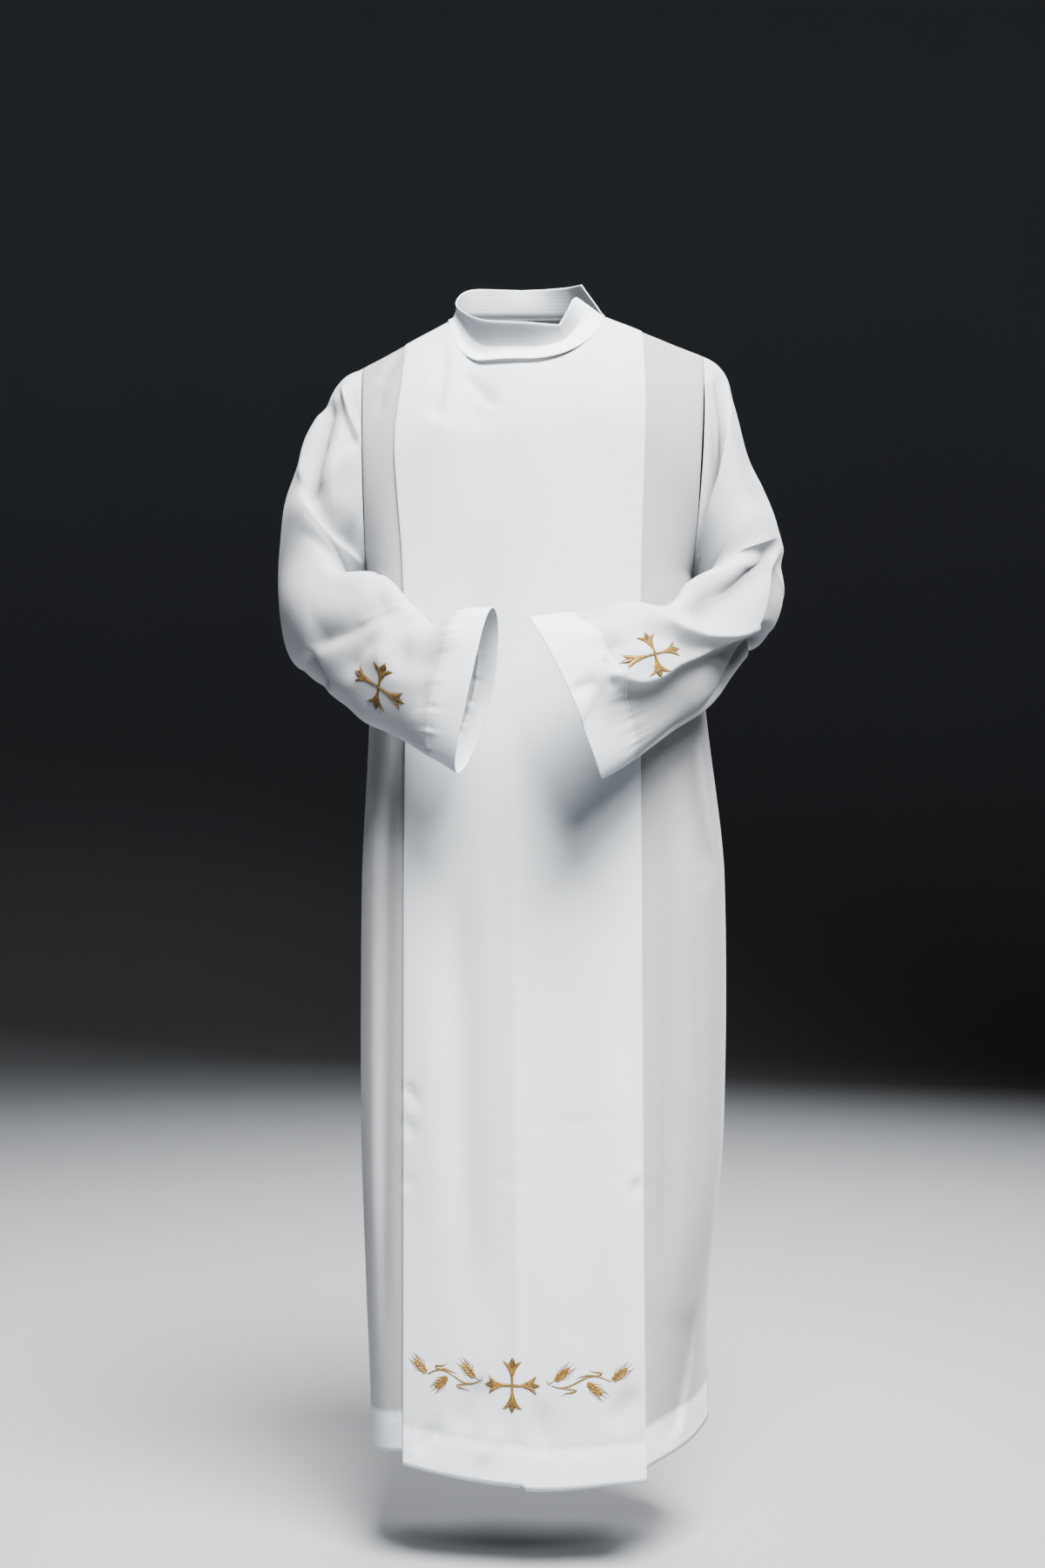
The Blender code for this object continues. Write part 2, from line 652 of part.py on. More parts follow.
def add_embroidery(collection):
    """Crosses on the sleeves and hem, and a spray of wheat on each side."""
    front = collection.objects["front"]
    level = Vector((1, 0, 0))
    add_motif("hem_cross", cross_mesh(), front, HEM_MOTIF, level, collection)
    for side, name in ((-1, "right"), (1, "left")):
        sleeve = collection.objects["sleeve_" + name]
        place = SLEEVE_MOTIFS[side]
        along = SLEEVE_MOTIF_ALONG[side]
        add_motif("sleeve_cross_" + name, cross_mesh(), sleeve, place, along, collection)
        sprays = {"wheat_stem_" + name: ([STEM_WIDTH] * (STEM_STEPS + 1), [])}
        for step in range(STEM_STEPS + 1):
            share = step / STEM_STEPS
            x = STEM_START + (STEM_END - STEM_START) * share
            z = STEM_LEVEL - STEM_WAVE * math.sin(math.tau * share)
            sprays["wheat_stem_" + name][1].append(spray_point(side, x, z))
        for number, ear in enumerate(WHEAT_EARS, 1):
            lean = math.radians(ear.lean)
            path = []
            for k in range(len(EAR_WIDTHS)):
                reach = ear.length * k / (len(EAR_WIDTHS) - 1)
                path.append(spray_point(side, ear.x + reach * math.cos(lean), ear.z + reach * math.sin(lean)))
            sprays["wheat_ear_%s_%d" % (name, number)] = (EAR_WIDTHS, path)
        for part_name, (widths, path) in sprays.items():
            start = path[0]
            place = HEM_MOTIF + Vector((start.x, 0, start.y)) / 1000.0
            bm = ribbon_mesh([point - start for point in path], widths)
            add_motif(part_name, bm, front, place, level, collection)


build()
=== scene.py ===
import math
import random
from collections import namedtuple

import bmesh
import bpy
import numpy as np
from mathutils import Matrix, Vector
from mathutils.bvhtree import BVHTree


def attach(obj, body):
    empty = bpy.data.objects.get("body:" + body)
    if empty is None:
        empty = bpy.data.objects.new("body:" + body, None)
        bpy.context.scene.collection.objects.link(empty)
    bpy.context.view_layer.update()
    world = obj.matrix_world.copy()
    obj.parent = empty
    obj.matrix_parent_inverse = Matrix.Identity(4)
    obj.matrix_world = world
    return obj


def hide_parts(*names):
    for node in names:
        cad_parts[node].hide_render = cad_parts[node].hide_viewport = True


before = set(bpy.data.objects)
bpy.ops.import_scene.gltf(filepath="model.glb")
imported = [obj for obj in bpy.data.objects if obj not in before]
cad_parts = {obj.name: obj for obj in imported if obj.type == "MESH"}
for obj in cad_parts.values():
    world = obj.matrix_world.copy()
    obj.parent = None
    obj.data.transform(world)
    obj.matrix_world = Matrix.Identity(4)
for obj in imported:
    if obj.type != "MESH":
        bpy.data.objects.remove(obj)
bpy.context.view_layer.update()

# White alb, worn and hollow: the front faces -Y, +X is the wearer's left, metres unless a name says mm
random.seed(11)

# Values of the cut, shared by front and back
cut = {
    "seamGap": 0.0005,
    "pleatPitch": 0.0022,       # from one layer of the box pleat to the next
    "seamPitch": 0.0008,        # the same where the layers are sewn into the shoulder seam
    "pitchGrowth": 0.070,       # drop over which the one grows into the other
    "hemDepth": 0.045,
    "neckCentreX": 0.0065,
    "neckHalfWidth": 0.0975,
    "neckFrontReach": 0.085,
    "neckBackReach": 0.070,
    "neckZ": {"left": 0.001, "right": -0.004, "front": -0.070, "back": 0.010},
    "neckDipSpan": 0.85,        # share of the way forward over which the neckline dips
    "neckLeftDipPower": 1.3,
    "neckShare": 0.64,          # share of the half panel that the neckline takes
    "neckSlope": 0.60,
    "underarmZ": -0.330,
    "armholeReach": {-1: 0.078, 1: 0.088},      # by facing: -1 front, 1 back
    "armholeTip": {-1: Vector((-0.203, 0.0, -0.066)), 1: Vector((0.230, 0.0, -0.051))},
    "armholeBase": {-1: Vector((-0.198, 0.0, -0.330)), 1: Vector((0.216, 0.0, -0.330))},
    "shoulderRound": 0.160,
    "chestRound": 0.100,
    "sideFullness": 0.85,
    "hemFullness": {-1: 0.80, 1: 0.35},
    "flareStart": 1.10,
    "flareGrowth": 0.30,
    "backFold": (0.008, 0.25, 0.70),            # depth, drop where it starts, length of growth
    "backWaves": ((1.0, 2.6, 0.5), (0.5, 4.7, -0.8)),       # share, rate across, phase
    "sideFold": (0.005, 0.35, 0.50),
    "hemZSeam": {-1: -1.433, 1: -1.406},
    "hemZSide": -1.431,
    "hemZBack": -1.436,
    "panelHem": (-1.450, -0.0065, 0.010),       # level, slope and curve across the half panel
    "hemStep": 0.004,           # how much lower the left half hangs
    "hemStepRun": (0.02, 0.8),  # shares of the half panel over which it drops and comes back
    "pleatPeep": 0.0025,
    "foldEdge": 0.992,
    "foldMiddle": 0.030,
    "layerTrim": 0.0004,
    "sideSeamY": 0.004,         # the side seam, where creases and pull have run out
    "pullCalm": 0.03,
    "halfPanel": 0.150,
}
BodySection = namedtuple(
    "BodySection",
    "z rightX leftX panelRight panelLeft frontDepth frontSag frontSkew backDepth backSag",
)
bodySections = [BodySection(*row) for row in (
    (0.010, -0.203, 0.230, -0.149, 0.152, 0.110, 0.012, 0.000, 0.095, 0.012),
    (-0.100, -0.202, 0.226, -0.158, 0.154, 0.114, 0.014, 0.000, 0.115, 0.016),
    (-0.170, -0.200, 0.222, -0.160, 0.152, 0.116, 0.016, 0.000, 0.125, 0.022),
    (-0.330, -0.198, 0.216, -0.149, 0.147, 0.118, 0.018, 0.000, 0.130, 0.028),
    (-0.520, -0.196, 0.236, -0.146, 0.146, 0.124, 0.018, 0.002, 0.130, 0.028),
    (-0.710, -0.205, 0.258, -0.147, 0.147, 0.134, 0.018, 0.005, 0.145, 0.028),
    (-1.040, -0.206, 0.257, -0.147, 0.148, 0.148, 0.018, 0.009, 0.155, 0.026),
    (-1.260, -0.199, 0.236, -0.147, 0.149, 0.158, 0.019, 0.012, 0.155, 0.024),
    (-1.380, -0.194, 0.237, -0.147, 0.150, 0.163, 0.020, 0.014, 0.155, 0.022),
    (-1.460, -0.191, 0.238, -0.147, 0.151, 0.165, 0.021, 0.014, 0.155, 0.022),
)]


def ease(t):
    t = min(max(t, 0.0), 1.0)
    return t * t * (3.0 - 2.0 * t)


def roundOver(t):
    t = min(max(t, 0.0), 1.0)
    return math.sqrt(1.0 - (1.0 - t) ** 2)


def hermite(before, start, end, after, t):
    slopeIn = (end - before) * 0.5
    slopeOut = (after - start) * 0.5
    t2 = t * t
    t3 = t2 * t
    value = start * (2 * t3 - 3 * t2 + 1) + end * (3 * t2 - 2 * t3)
    return value + slopeIn * (t3 - 2 * t2 + t) + slopeOut * (t3 - t2)


# Values a share t of the way from one row of a table to the next
def rowBetween(rows, index, t):
    before = rows[max(index - 1, 0)]
    after = rows[min(index + 2, len(rows) - 1)]
    return [hermite(a, b, c, d, t) for a, b, c, d in zip(before, rows[index], rows[index + 1], after)]


def shoulderRound(t, p):
    t = min(max(t, 0.0), 1.0)
    beyondNeck = (abs(p) - cut["neckShare"]) / (1.0 - cut["neckShare"])
    slope = cut["neckSlope"] * (1.0 - ease(beyondNeck))
    return roundOver(t) * (1.0 - slope) + t * (2.0 - t) * slope


sectionCache = {}


def bodySection(z):
    key = round(z, 5)
    if key in sectionCache:
        return sectionCache[key]
    rows = bodySections
    z = min(max(z, rows[-1].z), rows[0].z)
    upper = 0
    while upper < len(rows) - 2 and z < rows[upper + 1].z:
        upper += 1
    t = (rows[upper].z - z) / (rows[upper].z - rows[upper + 1].z)
    sectionCache[key] = BodySection(*rowBetween(rows, upper, t))
    return sectionCache[key]


# Neckline, 0 degrees at the wearer's left shoulder and 90 at the front
def neckPoint(degrees):
    across = math.cos(math.radians(degrees))
    forward = math.sin(math.radians(degrees))
    neckZ = cut["neckZ"]
    sideZ = neckZ["right"] + (neckZ["left"] - neckZ["right"]) * (1.0 + across) / 2.0
    x = cut["neckCentreX"] + cut["neckHalfWidth"] * across
    if forward > 0.0:
        dip = ease(forward / cut["neckDipSpan"])
        if across > 0.0:
            dip = forward ** cut["neckLeftDipPower"]
        return Vector((x, -cut["neckFrontReach"] * forward, sideZ + (neckZ["front"] - sideZ) * dip))
    return Vector((x, -cut["neckBackReach"] * forward, sideZ - (neckZ["back"] - sideZ) * forward))


def armholePoint(side, facing, share):
    turn = math.pi * share
    drop = (1.0 - math.cos(turn)) / 2.0
    point = cut["armholeTip"][side].lerp(cut["armholeBase"][side], drop)
    point.y = facing * max(cut["armholeReach"][facing] * math.sin(turn), cut["seamGap"] / 2.0)
    return point


def seamPoint(p):
    side = -1 if p < 0 else 1
    neck = neckPoint(0 if side > 0 else 180)
    share = cut["neckShare"]
    if abs(p) <= share:
        return neckPoint(90 - math.degrees(math.asin(p / share)))
    edgeX = bodySection(0.0).panelLeft if side > 0 else bodySection(0.0).panelRight
    x = neck.x + (edgeX - neck.x) * (abs(p) - share) / (1.0 - share)
    tip = cut["armholeTip"][side]
    return neck.lerp(tip, (x - neck.x) / (tip.x - neck.x))


# Rows of the body: 0 to 8 down the armhole, closer at its top, 8 to 19 down the skirt, 19 to 20 down the hem
bodyRows = {"armhole": 8, "skirt": 11, "last": 20, "closeness": 1.5, "skirtStep": 0.0977}


def rowHeight(row, topZ, hemZ):
    low = cut["underarmZ"]
    if row <= bodyRows["armhole"]:
        return topZ + (low - topZ) * (row / bodyRows["armhole"]) ** bodyRows["closeness"]
    hemStart = bodyRows["last"] - 1
    if row <= hemStart:
        share = (row - bodyRows["armhole"]) / bodyRows["skirt"]
        return low + (hemZ + cut["hemDepth"] - low) * share
    return hemZ + cut["hemDepth"] * (bodyRows["last"] - row)


def softFold(fold, z):
    depth, start, growth = fold
    return depth * ease((-z - start) / growth)


def backFold(p, z):
    wave = sum(share * math.cos(rate * math.pi * p + phase) for share, rate, phase in cut["backWaves"])
    return softFold(cut["backFold"], z) * wave


def bodyPoint(facing, p, topTrim, z):
    top = seamPoint(p)
    share = cut["neckShare"]
    if facing > 0:
        top = Vector((top.x, max(top.y, 0.0), top.z))
        if abs(p) < share:
            top = neckPoint(270 + math.degrees(math.asin(p / share)))
    top.z -= topTrim
    z = min(z, top.z)
    section = bodySection(z)
    lowX = p * (section.panelLeft if p > 0 else -section.panelRight)
    if facing < 0:
        depth = section.frontDepth - section.frontSag * p * p + section.frontSkew * p
    else:
        depth = section.backDepth - section.backSag * p * p + backFold(p, z)
    neckness = math.sqrt(max(0.0, 1.0 - (p / share) ** 2))
    fall = cut["shoulderRound"] + (cut["chestRound"] - cut["shoulderRound"]) * neckness
    drop = (top.z - z) / fall
    startY = facing * max(abs(top.y), cut["seamGap"] / 2.0)
    y = startY + (facing * depth - startY) * shoulderRound(drop, p)
    x = top.x + (lowX - top.x) * ease(drop)
    return Vector((x, y, z))


# Direction from an inner layer of the front to the next one out
def layerDirection(p, z):
    share = min(max((seamPoint(p).z - z) / cut["shoulderRound"], 0.0), 1.0)
    turn = math.acos(1.0 - share)
    return Vector((0.0, -math.sin(turn), math.cos(turn)))


# The left half of the panel hangs a little lower from its middle line
def panelHem(p):
    level, slope, curve = cut["panelHem"]
    down, back = cut["hemStepRun"]
    step = cut["hemStep"] * ease(p / down) * (1.0 - ease(p / back))
    return level + slope * p + curve * p * p - step


def pleatPoint(p, row, layer):
    hemZ = panelHem(p)
    if layer > 0:
        hemZ -= cut["pleatPeep"] * (1.0 - abs(p))
    if layer == 2:
        hemZ += (cut["hemZSide"] - panelHem(1.0)) * abs(p)
    trim = cut["layerTrim"] * layer
    z = rowHeight(row, seamPoint(p).z - trim, hemZ)
    point = bodyPoint(-1, p, trim, z)
    growth = ease((seamPoint(p).z - z) / cut["pitchGrowth"])
    pitch = cut["seamPitch"] + (cut["pleatPitch"] - cut["seamPitch"]) * growth
    return point - layerDirection(p, z) * (pitch * layer)


def foldPoints(p, row, layer, outward, steps):
    upper = pleatPoint(p, row, layer)
    lower = pleatPoint(p, row, layer + 1)
    across = (pleatPoint(p + 0.01, row, layer) - pleatPoint(p - 0.01, row, layer)).normalized()
    reach = across * outward * (upper - lower).length / 2.0
    middle = (upper + lower) / 2.0
    points = []
    for step in range(steps + 1):
        turn = math.pi * step / steps
        points.append(middle + (upper - middle) * math.cos(turn) + reach * math.sin(turn))
    return points


def sidePoints(side, facing, row, inner, steps):
    if row <= bodyRows["armhole"]:
        outer = armholePoint(side, facing, row / bodyRows["armhole"])
        fullness = cut["sideFullness"] * ease(row / bodyRows["armhole"])
    else:
        z = rowHeight(row, cut["underarmZ"], cut["hemZSeam"][side])
        section = bodySection(z)
        x = section.leftX if side > 0 else section.rightX
        outer = Vector((x, facing * cut["seamGap"] / 2.0, z))
        flare = ease((-z - cut["flareStart"]) / cut["flareGrowth"]) if facing < 0 else 0.0
        fullness = cut["sideFullness"] + (cut["hemFullness"][side] - cut["sideFullness"]) * flare
    corner = Vector((outer.x, inner.y, (outer.z + inner.z) / 2.0))
    control = ((outer + inner) / 2.0).lerp(corner, fullness)
    points = []
    for step in range(steps):
        w = step / steps
        point = outer * (1 - w) ** 2 + control * 2 * w * (1 - w) + inner * w * w
        point.y += facing * softFold(cut["sideFold"], point.z) * math.sin(2.0 * math.pi * w) * w
        points.append(point)
    return points


# Direction out of the cloth at a point of the front, facing -1, or of the back, facing 1
def outwardAt(point, facing):
    p = min(max(point.x / cut["halfPanel"], -1.0), 1.0)
    outward = layerDirection(p, point.z)
    outward.y *= -facing
    return outward


# Rows close together where the armhole curves, then about 8 mm apart, and finer on the hem
def fineRows(armholeSteps, skirtSteps, hemSteps):
    rows = [bodyRows["armhole"] * k / armholeSteps for k in range(armholeSteps)]
    rows += [bodyRows["armhole"] + bodyRows["skirt"] * k / skirtSteps for k in range(skirtSteps)]
    rows += [bodyRows["last"] - 1 + k / hemSteps for k in range(hemSteps + 1)]
    return rows


# Listed creases
# rise: mm outwards along the crease, or inwards below zero; left and right: how far in mm it spreads to
# either side, seen from in front; fade: mm over which its two ends run out; path: x, y, z in mm down its
# middle, or x, z on the front and back; under: depth in mm of the hollow that follows on its right
Crease = namedtuple("Crease", "rise left right fade path under", defaults=(0,))
creaseShape = {
    "pathSteps": 6,
    "underWidth": 0.55,         # a ridge falls more steeply towards its hollow
    "crispness": (1.25, 1.90),  # power of the profile: narrow creases are crisp, wide ones round
    "widths": (16.0, 56.0),     # mm, the narrow and the wide one
    "leastFade": 0.2,           # share of the length
}


def smoothPath(points, steps):
    fine = []
    for k in range(len(points) - 1):
        before = points[max(k - 1, 0)]
        after = points[min(k + 2, len(points) - 1)]
        for step in range(steps):
            fine.append(hermite(before, points[k], points[k + 1], after, step / steps))
    fine.append(points[-1])
    return fine


def easeAll(t):
    t = np.clip(t, 0.0, 1.0)
    return t * t * (3.0 - 2.0 * t)


def crispnessOf(width):
    low, high = creaseShape["crispness"]
    narrow, wide = creaseShape["widths"]
    return low + (high - low) * min(max((width - narrow) / (wide - narrow), 0.0), 1.0)


# Height in metres that the creases give each place; nearness counts less along an axis of low weight
def creaseHeights(places, creases, weights):
    weights = np.array(weights)
    places = places * 1000.0
    heights = np.zeros(len(places))
    for crease in creases:
        points = [np.array(point if len(point) == 3 else (point[0], 0, point[1]), dtype=float)
                  for point in crease.path]
        path = smoothPath(points, creaseShape["pathSteps"])
        nearest = np.full(len(places), 1e9)
        sideSign = np.zeros(len(places))
        along = np.zeros(len(places))
        travelled = 0.0
        for start, end in zip(path, path[1:]):
            step = (end - start) * weights
            length = float(np.linalg.norm(step)) or 1e-6
            offset = (places - start) * weights
            share = np.clip(offset @ step / length ** 2, 0.0, 1.0)
            away = offset - share[:, None] * step
            distance = np.sqrt((away ** 2).sum(axis=1))
            nearer = distance < nearest
            nearest = np.where(nearer, distance, nearest)
            sideSign = np.where(nearer, step[0] * offset[:, 2] - step[2] * offset[:, 0], sideSign)
            along = np.where(nearer, travelled + share * length, along)
            travelled += length
        onLeft = sideSign > 0.0
        rightWidth = crease.right * (creaseShape["underWidth"] if crease.under else 1.0)
        spread = np.where(onLeft, crease.left, rightWidth)
        height = crease.rise * np.exp(-(nearest / spread) ** crispnessOf(crease.left + crease.right))
        reach = nearest / crease.right
        height -= np.where(onLeft, 0.0, crease.under * reach * np.exp(1.0 - reach))
        fade = max(min(max(crease.fade, travelled * creaseShape["leastFade"]), travelled * 0.5), 1.0)
        heights += height * easeAll(along / fade) * easeAll((travelled - along) / fade)
    return heights / 1000.0


# Slow waves that no hand places: height in metres, and for each of two crossed waves its rate in x, y and z
# and its phase
slowWaves = {
    "front": ((0.0012, (21.0, 0.0, 3.1, 0.7), (-5.0, 0.0, 7.3, 0.0)),
              (0.0007, (47.0, 0.0, -9.0, 2.0), (11.0, 0.0, 15.0, 1.0))),
    "back": ((0.0014, (18.0, 0.0, 2.6, 1.9), (4.0, 0.0, 6.1, 0.0)),),
    "sleeve": ((0.0011, (31.0, 0.0, 17.0, 0.0), (0.0, 27.0, -13.0, 0.8)),
               (0.0006, (71.0, -33.0, 0.0, 1.0), (0.0, 21.0, 59.0, 0.0))),
    "collar": ((0.0006, (70.0, 0.0, 0.0, 1.0), (0.0, 40.0, 80.0, 0.0)),),
}


def slowHeights(places, name):
    total = np.zeros(len(places))
    for height, first, second in slowWaves[name]:
        waves = [np.sin(places @ np.array(wave[:3]) + wave[3]) for wave in (first, second)]
        total += height * waves[0] * waves[1]
    return total


# Relief of the front, facing -1, or the back, facing 1; it is calm towards the seams, where cloth lies tight
def bodyRelief(facing, look, creases, name):
    def relief(places, outward):
        heights = look["foldDepth"] * creaseHeights(places, creases, (1.0, 0.0, 1.0))
        calm = easeAll((-places[:, 2] - look["calmDrop"]) / look["calmGrowth"])
        calm *= easeAll(facing * (places[:, 1] - cut["sideSeamY"]) / look["sideCalm"])
        return calm * (heights + slowHeights(places, name))
    return relief


# White plain-weave polyester: matt thread with a faint sheen, greyer where a single layer lets the dark
# inside show through
clothLook = {
    "thin": "#838588",
    "thick": "#C3CAD0",
    "warpShare": 0.4,           # how much of the weft's relief the warp has
    "threadMm": 1.5,            # real threads are 0.3 mm apart, too fine to show, so they are drawn coarser
    "slubScale": (110.0, 900.0, 1.0),
    "paintedShadeDepth": 0.020,       # painted shade: cloth sunk this deep into its creases is painted this much greyer
    "paintedShade": 0.40,
}
sheetWall = {"single": 0.0006, "hem": 0.0010}
sheetGrids = {}
# A point of a sheet: the direction out of the cloth there, its tone, how far in metres sewing draws it in or
# out, and how much painted shade it gets as a hollow
Cell = namedtuple("Cell", "point outward layers pull hollow", defaults=(0.0,))
sewing = {
    "ripples": ((0.6, 560.0, 0.0), (0.8, 331.0, 1.3), (0.4, 817.0, 0.4)),       # share, rate along, phase
    "strength": (0.75, 0.45, 41.0, 0.6),        # mean, swing, rate along, phase
    "ditchDepth": 0.0009,
    "ditchWidth": 0.0036,
    "pucker": 0.00085,
    "clothReach": 0.0125,
    "hemReach": 0.0075,
}


# How sewing draws the cloth in: distance in metres from the stitch line, below zero on the hem side, and
# the place along the line in metres
def sewnPull(distance, along):
    ripple = sum(share * math.sin(along * rate + phase) for share, rate, phase in sewing["ripples"])
    mean, swing, rate, phase = sewing["strength"]
    strength = mean + swing * math.sin(along * rate + phase)
    sunk = -sewing["ditchDepth"] * math.exp(-(distance / sewing["ditchWidth"]) ** 2)
    reach = sewing["clothReach"] if distance > 0.0 else sewing["hemReach"]
    return sunk + sewing["pucker"] * strength * ripple * math.exp(-abs(distance) / reach)


def newPiece(name, bm):
    mesh = bpy.data.meshes.new(name)
    bm.to_mesh(mesh)
    bm.free()
    mesh.shade_smooth()
    piece = bpy.data.objects.new(name, mesh)
    bpy.context.scene.collection.objects.link(piece)
    return piece


# A sheet from rows of cells: the grid is created flat and each vertex is moved to its place
def clothSheet(name, rows, relief, single=sheetWall["single"], hem=sheetWall["hem"], closed=False):
    rowCount = len(rows)
    columnCount = len(rows[0])
    bm = bmesh.new()
    bmesh.ops.create_grid(bm, x_segments=columnCount - 1, y_segments=rowCount - 1, size=0.5)
    bm.verts.ensure_lookup_table()
    cells = [cell for row in rows for cell in row]
    places = np.array([cell.point[:] for cell in cells])
    outward = np.array([cell.outward[:] for cell in cells])
    pull = np.array([cell.pull for cell in cells])
    heights = relief(places, outward)
    # painted shade: the deeper the relief sinks the cloth, the greyer it is painted, as shade in its creases
    paintedShades = np.clip(-heights / clothLook["paintedShadeDepth"], 0.0, 1.0)
    places = places + outward * (heights + pull)[:, None]
    layers = bm.verts.layers.float.new("layers")
    hollow = bm.verts.layers.float.new("hollow")
    for vert, place, cell, depth in zip(bm.verts, places, cells, paintedShades):
        vert.co = place
        vert[layers] = cell.layers
        vert[hollow] = max(depth, cell.hollow)
    grid = places.reshape(rowCount, columnCount, 3)
    sheetGrids[name] = (grid, outward.reshape(rowCount, columnCount, 3))
    middleLines = (grid[rowCount // 2], grid[:, columnCount // 2])
    acrossU, downV = (np.concatenate([[0.0], np.cumsum(np.linalg.norm(np.diff(line, axis=0), axis=1))])
                      for line in middleLines)
    uvLayer = bm.loops.layers.uv.new("cut")
    for face in bm.faces:
        for loop in face.loops:
            row, column = divmod(loop.vert.index, columnCount)
            loop[uvLayer].uv = (acrossU[column], -downV[row])
    if closed:
        bmesh.ops.remove_doubles(bm, verts=bm.verts, dist=1e-6)
    sheet = newPiece(name, bm)
    wall = sheet.modifiers.new("wall", "SOLIDIFY")
    wall.thickness = hem
    wall.offset = 0.0
    group = sheet.vertex_groups.new(name="thickness")
    values = np.zeros(len(sheet.data.vertices))
    sheet.data.attributes["layers"].data.foreach_get("value", values)
    group.add(np.flatnonzero(values < hemMark).tolist(), single / hem, "REPLACE")
    group.add(np.flatnonzero(values >= hemMark).tolist(), 1.0, "REPLACE")
    wall.vertex_group = group.name
    return sheet


# Layers of cloth that a place shows, for its tone: single, pleat, turned hem
tone = {"single": 0.0, "sleeve": 0.36, "pleat": 0.62, "hem": 0.8, "pleatHem": 1.0}
hemMark = 0.7


# Distance in metres from the hem's stitch line to a row of the body, below zero on the hem
def fromHemLine(row):
    last = bodyRows["last"]
    if row > last - 1:
        return (last - 1 - row) * cut["hemDepth"]
    return (last - 1 - row) * bodyRows["skirtStep"]


def toneOf(row, isPleat):
    if row >= bodyRows["last"] - 1:
        return tone["pleatHem"] if isPleat else tone["hem"]
    return tone["pleat"] if isPleat else tone["single"]


# Front: one piece with a wide box pleat, layer 0 outermost
front = {
    "sideSteps": 16,
    "underSteps": 12,
    "foldSteps": 6,
    "panelSteps": 30,
    "foldDepth": 2.0,
    "calmDrop": 0.020,          # nothing moves above this drop, and everything below the growth
    "calmGrowth": 0.060,
    "sideCalm": 0.03,
    "seamDitch": 0.0030,
    "ditchFall": 9.0,
}
frontCreases = [Crease(*row) for row in (
    # from the neckline down the right side of the chest
    (-4.6, 8, 10, 22, ((-97, -46), (-96, -80), (-101, -118), (-108, -150))),
    (-4.0, 9, 8, 20, ((-78, -72), (-64, -92), (-42, -116), (-26, -132))),
    (-2.2, 16, 16, 40, ((-78, -104), (-58, -134), (-34, -160))),
    (1.6, 10, 10, 30, ((-112, -48), (-112, -80), (-114, -130))),
    # from the right shoulder seam towards the armhole
    (-3.2, 6, 7, 18, ((-146, -54), (-164, -72), (-181, -98))),
    (2.0, 6, 6, 16, ((-158, -50), (-172, -64), (-188, -84))),
    (-1.6, 6, 6, 16, ((-168, -100), (-176, -112), (-180, -140))),
    # broad soft swells of the chest and the skirt
    (-2.5, 34, 34, 120, ((-30, -250), (-60, -420), (-70, -640))),
    (2.6, 40, 40, 160, ((70, -150), (80, -320), (60, -520))),
    (-4.0, 30, 26, 200, ((-66, -620), (-72, -860), (-60, -1180), (-66, -1300))),
    (3.2, 34, 34, 200, ((-112, -760), (-108, -1000), (-104, -1220))),
    (-2.2, 30, 44, 200, ((60, -760), (66, -1000), (52, -1240))),
    (2.2, 26, 26, 160, ((112, -880), (118, -1100), (112, -1360))),
    # pressed line down the middle of the panel
    (1.9, 3.6, 12, 120, ((-10, -520), (-9, -700), (-6, -1000), (-3, -1430))),
    # lines left from folding in store
    (-0.5, 3.5, 3.5, 40, ((-20, -1008), (50, -1010), (140, -1006))),
    (-0.6, 3.5, 3.5, 40, ((-60, -1082), (30, -1080), (144, -1074))),
    # pinches along the pressed edges of the pleat
    (-2.6, 5, 4, 12, ((-150, -968), (-137, -978), (-126, -996))),
    (-2.2, 4, 5, 10, ((-150, -1010), (-138, -1020), (-130, -1034))),
    (-1.8, 4, 4, 10, ((-150, -1092), (-138, -1086), (-128, -1088))),
    (2.0, 5, 4, 10, ((148, -1068), (138, -1074), (126, -1080))),
    (-2.2, 4, 4, 10, ((149, -1084), (139, -1090), (130, -1102))),
    # folds near the hem
    (-3.0, 13, 16, 34, ((-36, -1318), (-62, -1352), (-82, -1398))),
    (-2.2, 16, 14, 30, ((30, -1340), (22, -1372), (30, -1412))),
    (-2.0, 12, 12, 26, ((-96, -1372), (-116, -1398), (-136, -1420))),
    (-3.4, 12, 14, 26, ((146, -1330), (126, -1352), (108, -1384))),
    (2.4, 12, 12, 30, ((-20, -1376), (-40, -1400), (-54, -1432))),
    # side fronts: soft upright folds, and a flap along each side
    (-3.4, 8, 12, 120, ((174, -560), (180, -760), (176, -1000), (168, -1240))),
    (2.6, 12, 10, 120, ((196, -640), (202, -860), (196, -1120), (190, -1300))),
    (2.0, 5, 9, 26, ((223, -530), (226, -586), (233, -630), (243, -676), (252, -716)), 4.5),
    (-1.6, 6, 6, 14, ((206, -722), (222, -716), (240, -712))),
    (1.8, 6, 9, 26, ((222, -1240), (217, -1290), (210, -1330), (200, -1375), (192, -1420)), 4.5),
    (-3.6, 7, 9, 140, ((-166, -520), (-168, -800), (-171, -1100), (-170, -1340))),
    (2.6, 8, 7, 140, ((-184, -540), (-187, -880), (-184, -1240))),
    (-2.6, 7, 6, 90, ((-160, -470), (-158, -560), (-164, -700))),
)]


# Depth that the armhole seam draws the side front in, by share of the way from the seam to the pleat
def armholeDitch(row, share):
    if row >= bodyRows["armhole"]:
        return 0.0
    depth = front["seamDitch"] * math.sin(math.pi * row / bodyRows["armhole"])
    return depth * math.exp(-share * front["ditchFall"])


# The single cloth beside the pleat rises to the line of the shoulder seam
def raisedToSeam(point):
    side = -1 if point.x < 0 else 1
    tip = cut["armholeTip"][side]
    edge = seamPoint(side)
    share = (point.x - tip.x) / (edge.x - tip.x)
    return Vector((point.x, point.y, max(point.z, tip.z + (edge.z - tip.z) * share)))


